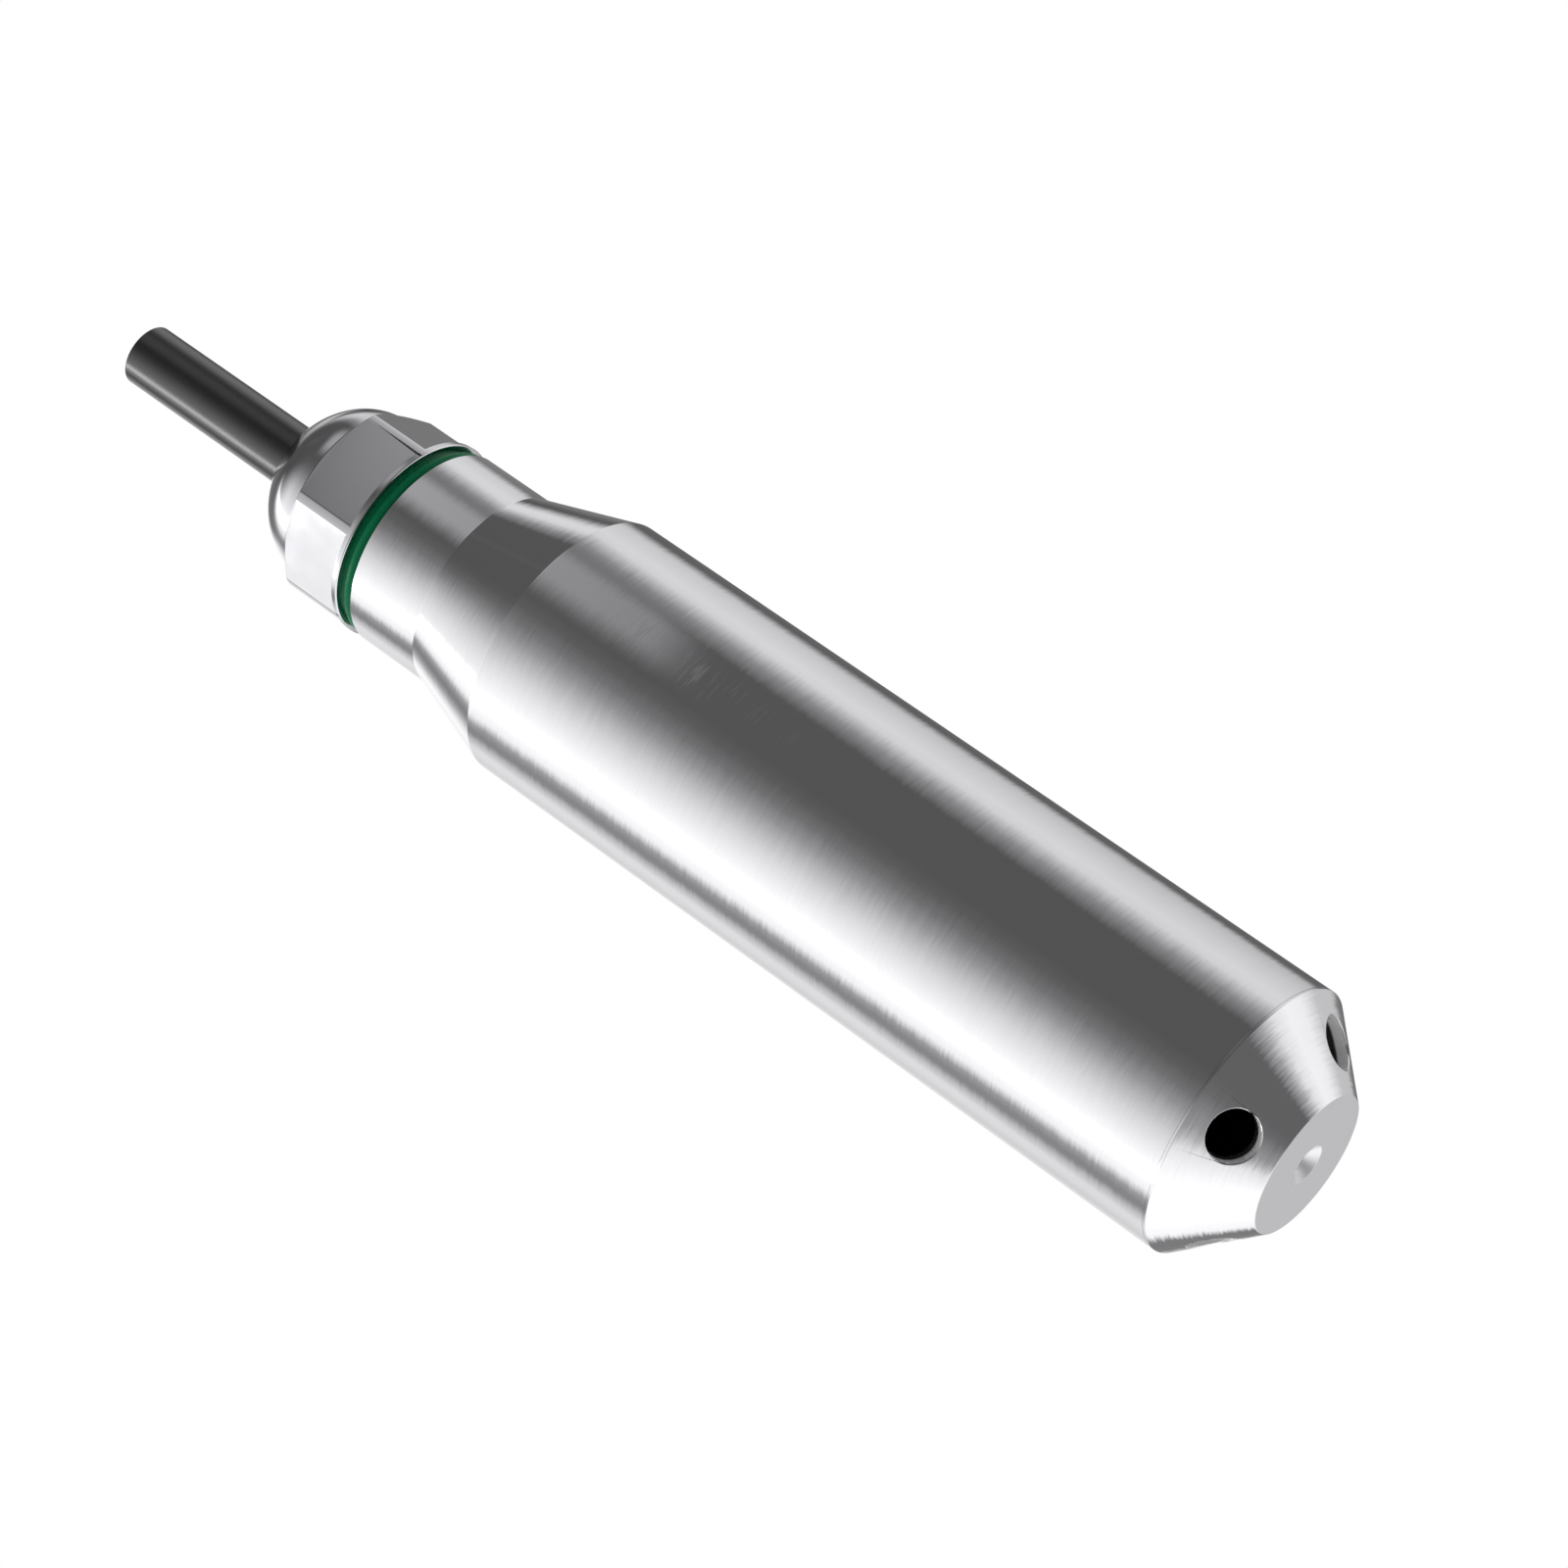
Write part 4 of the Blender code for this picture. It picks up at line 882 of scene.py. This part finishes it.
def cable():
    """Jacket, braid and filler, with bare strands at the cut end."""
    top = JACKET_HIGH.z
    inner = CABLE_RADIUS - JACKET_WALL
    corners = [
        (inner, JACKET_LOW.z, 0),
        (CABLE_RADIUS, JACKET_LOW.z, 0),
        (CABLE_RADIUS, top, FINE_EDGE),
        (inner, top, FINE_EDGE),
    ]
    jacket = add("cable_sheath", turned(rounded(corners), STEPS // 2), "jacket")
    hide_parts("cable_jacket")
    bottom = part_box("cable_braid")[0].z
    braid_inner = BRAID_RADIUS - BRAID_WALL
    section = [
        (braid_inner, bottom),
        (BRAID_RADIUS, bottom),
        (BRAID_RADIUS, top),
        (braid_inner, top),
    ]
    braid = add("cable_screen", turned(section, STEPS // 2), "braid")
    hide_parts("cable_braid")
    low, high = top - FILLER_LENGTH, top - FILLER_DEPTH
    section = [(0.0, low), (braid_inner, low), (braid_inner, high), (0.0, high)]
    filler = add("cable_filler", turned(section, SMALL_STEPS), "filler")
    pieces = [jacket, braid, filler]
    for name, degrees in (("core_plus_strands", 30), ("core_minus_strands", 150)):
        turn = math.radians(degrees)
        middle = CORE_PITCH_RADIUS * Vector((math.cos(turn), math.sin(turn), 0))
        shape = bmesh.new()
        for strand in range(7):
            angle = math.tau * strand / 6
            out = STRAND_CIRCLE if strand < 6 else 0.0
            spot = middle + Vector((out * math.cos(angle), out * math.sin(angle), top - FILLER_DEPTH))
            bmesh.ops.create_cone(
                shape,
                cap_ends=True,
                segments=12,
                radius1=STRAND_RADIUS,
                radius2=STRAND_RADIUS,
                depth=2 * (FILLER_DEPTH + STRAND_PROUD),
                matrix=Matrix.Translation(spot),
            )
        pieces.append(add(name, shape, "copper"))
    # A black disc where the vent's bore opens: painted shade in place of the open hole
    bore = bmesh.new()
    spot = Vector((0, -CORE_PITCH_RADIUS, top - FILLER_DEPTH))
    bmesh.ops.create_cone(
        bore,
        cap_ends=True,
        segments=24,
        radius1=VENT_BORE_RADIUS,
        radius2=VENT_BORE_RADIUS,
        depth=2 * (FILLER_DEPTH + STRAND_PROUD / 2),
        matrix=Matrix.Translation(spot),
    )
    pieces.append(add("vent_bore_painted_shade", bore, "rubber"))
    for piece in pieces:
        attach(piece, "probe")


def finish_solids():
    """Gives the solids that stay their finishes."""
    for look, names in CAD_FINISHES.items():
        for name in names:
            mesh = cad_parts[name].data
            mesh.materials.clear()
            mesh.materials.append(LOOKS[look])
            mesh.shade_smooth()
            mesh.set_sharp_from_angle(angle=SHARP_ANGLE)


# Stage


def round_panels(tree, degrees, levels):
    """The light at an azimuth, from a list of (azimuth, level)."""
    turn = calc(tree, "MULTIPLY_ADD", degrees, 1 / 360, 0.5)
    ramp = node(tree, "ShaderNodeValToRGB", {0: turn})
    stops = ramp.color_ramp.elements
    stops.remove(stops[-1])
    for index, (angle, level) in enumerate(levels):
        stop = stops[0] if index == 0 else stops.new(angle / 360 + 0.5)
        stop.position = angle / 360 + 0.5
        stop.color = grey(level)
    return ramp.outputs[0]


def band(tree, value, low, high, fade_low, fade_high):
    """1 between low and high, fading to 0 outside them."""
    rise = spread(tree, value, low - fade_low, low)
    fall = spread(tree, value, high + fade_high, high)
    return calc(tree, "MULTIPLY", rise, fall)


def light():
    """A studio as a sky: white to the camera, and soft panels round the probe for its reflections."""
    world = bpy.data.worlds.new("studio")
    bpy.context.scene.world = world
    world.use_nodes = True
    tree = world.node_tree
    shader = tree.nodes["Background"]
    direction = node(tree, "ShaderNodeTexCoord").outputs["Generated"]
    split = node(tree, "ShaderNodeSeparateXYZ", {0: direction})
    azimuth = calc(tree, "DEGREES", calc(tree, "ARCTAN2", split.outputs[1], split.outputs[0]))
    elevation = calc(tree, "DEGREES", calc(tree, "ARCSINE", split.outputs[2]))
    above = calc(tree, "SUBTRACT", elevation, LEAN_START)

    # The panels lean away from the camera as they rise
    aside = calc(tree, "SUBTRACT", azimuth, CAMERA_AZIMUTH)
    key_lean = calc(tree, "MULTIPLY", above, KEY_LEAN)
    rim_slope = calc(tree, "MULTIPLY_ADD", above, -RIM_CURVE, -RIM_LEAN)
    rim_lean = calc(tree, "MULTIPLY", above, rim_slope)
    key_side = band(tree, aside, *KEY_SIDE)
    rim_side = band(tree, aside, *RIM_SIDE)
    leaned = calc(tree, "MULTIPLY_ADD", key_side, key_lean, azimuth)
    leaned = calc(tree, "MULTIPLY_ADD", rim_side, rim_lean, leaned)
    upper = round_panels(tree, leaned, STUDIO)
    lower = round_panels(tree, azimuth, GROUND)
    lit = blend(tree, spread(tree, elevation, *SKYLINE_FADE), lower, upper)

    # The fill card brightens towards its top edge, and over it all is dark
    card_side = spread(tree, azimuth, *CARD_SIDE_FADE)
    card = calc(tree, "MULTIPLY", card_side, spread(tree, elevation, *CARD_TOP_FADE))
    lit = scaled(tree, lit, spread(tree, card, 0, 1, 1, CARD_GAIN))
    over_side = spread(tree, azimuth, *OVER_SIDE_FADE)
    over = calc(tree, "MULTIPLY", over_side, spread(tree, elevation, *OVER_LOW_FADE))
    lit = blend(tree, over, lit, grey(OVER_LEVEL))

    # A dim window high over the black curtain
    glow = spread(tree, elevation, *WINDOW_RISE, *WINDOW_LEVELS)
    window = calc(
        tree, "MULTIPLY", band(tree, azimuth, *WINDOW_ACROSS), band(tree, elevation, *WINDOW_UP)
    )
    lit = blend(tree, window, lit, glow)

    # Dark behind the probe, along the horizon there, and overhead
    behind = calc(tree, "WRAP", azimuth, 360.0, 0.0)
    lean = calc(tree, "MINIMUM", above, BACK_LEAN_LIMIT)
    near_edge = calc(tree, "MULTIPLY_ADD", lean, BACK_LEAN, behind)
    far_edge = calc(tree, "ADD", above, behind)
    back = calc(
        tree,
        "MULTIPLY",
        spread(tree, near_edge, *BACK_NEAR_FADE),
        spread(tree, far_edge, *BACK_FAR_FADE),
    )
    back = calc(tree, "MULTIPLY", back, spread(tree, elevation, *BACK_LOW_FADE))
    curtain = calc(
        tree,
        "MULTIPLY",
        spread(tree, elevation, *CURTAIN_RISE, *CURTAIN_LEVELS),
        spread(tree, elevation, *CURTAIN_TOP_FADE, 1, CURTAIN_TOP_GAIN),
    )
    lit = blend(tree, back, lit, curtain)
    horizon = calc(
        tree, "MULTIPLY", band(tree, behind, *HORIZON_ACROSS), band(tree, elevation, *HORIZON_UP)
    )
    lit = blend(tree, horizon, lit, grey(HORIZON_LEVEL))
    lit = blend(tree, spread(tree, elevation, *CEILING_FADE), lit, grey(CEILING_LEVEL))

    eye = node(tree, "ShaderNodeLightPath").outputs["Is Camera Ray"]
    plug(tree, shader.inputs["Color"], blend(tree, eye, scaled(tree, lit, STUDIO_STRENGTH), grey(1)))


def floor():
    """A pale floor, far below the hanging probe."""
    shape = bmesh.new()
    bmesh.ops.create_grid(shape, x_segments=1, y_segments=1, size=FLOOR_SIZE / 2)
    mesh = bpy.data.meshes.new("floor")
    shape.to_mesh(mesh)
    shape.free()
    made = bpy.data.objects.new("floor", mesh)
    made.location.z = FLOOR_HEIGHT
    bpy.context.collection.objects.link(made)
    look, tree, shader = material("floor_paint", grey(FLOOR_GREY)[:3], roughness=0.9)
    eye = node(tree, "ShaderNodeLightPath").outputs["Is Camera Ray"]
    plug(tree, shader.inputs["Emission Color"], grey(1))
    plug(tree, shader.inputs["Emission Strength"], calc(tree, "MULTIPLY", eye, FLOOR_GLOW))
    mesh.materials.append(look)
    made.visible_glossy = False


def camera():
    """The photograph's camera."""
    data = bpy.data.cameras.new("camera")
    data.lens = LENS
    data.sensor_width = SENSOR
    data.sensor_fit = "HORIZONTAL"
    data.clip_start = 0.01
    data.clip_end = 100
    made = bpy.data.objects.new("camera", data)
    bpy.context.collection.objects.link(made)
    back = CAMERA_RIGHT.cross(CAMERA_UP)
    turn = Matrix((CAMERA_RIGHT, CAMERA_UP, back)).transposed().to_4x4()
    made.matrix_world = Matrix.Translation(CAMERA_PLACE) @ turn
    bpy.context.scene.camera = made


nose_cap()
housing()
gland_nut()
cable()
finish_solids()
light()
floor()
camera()
bpy.context.scene.view_settings.view_transform = "Standard"
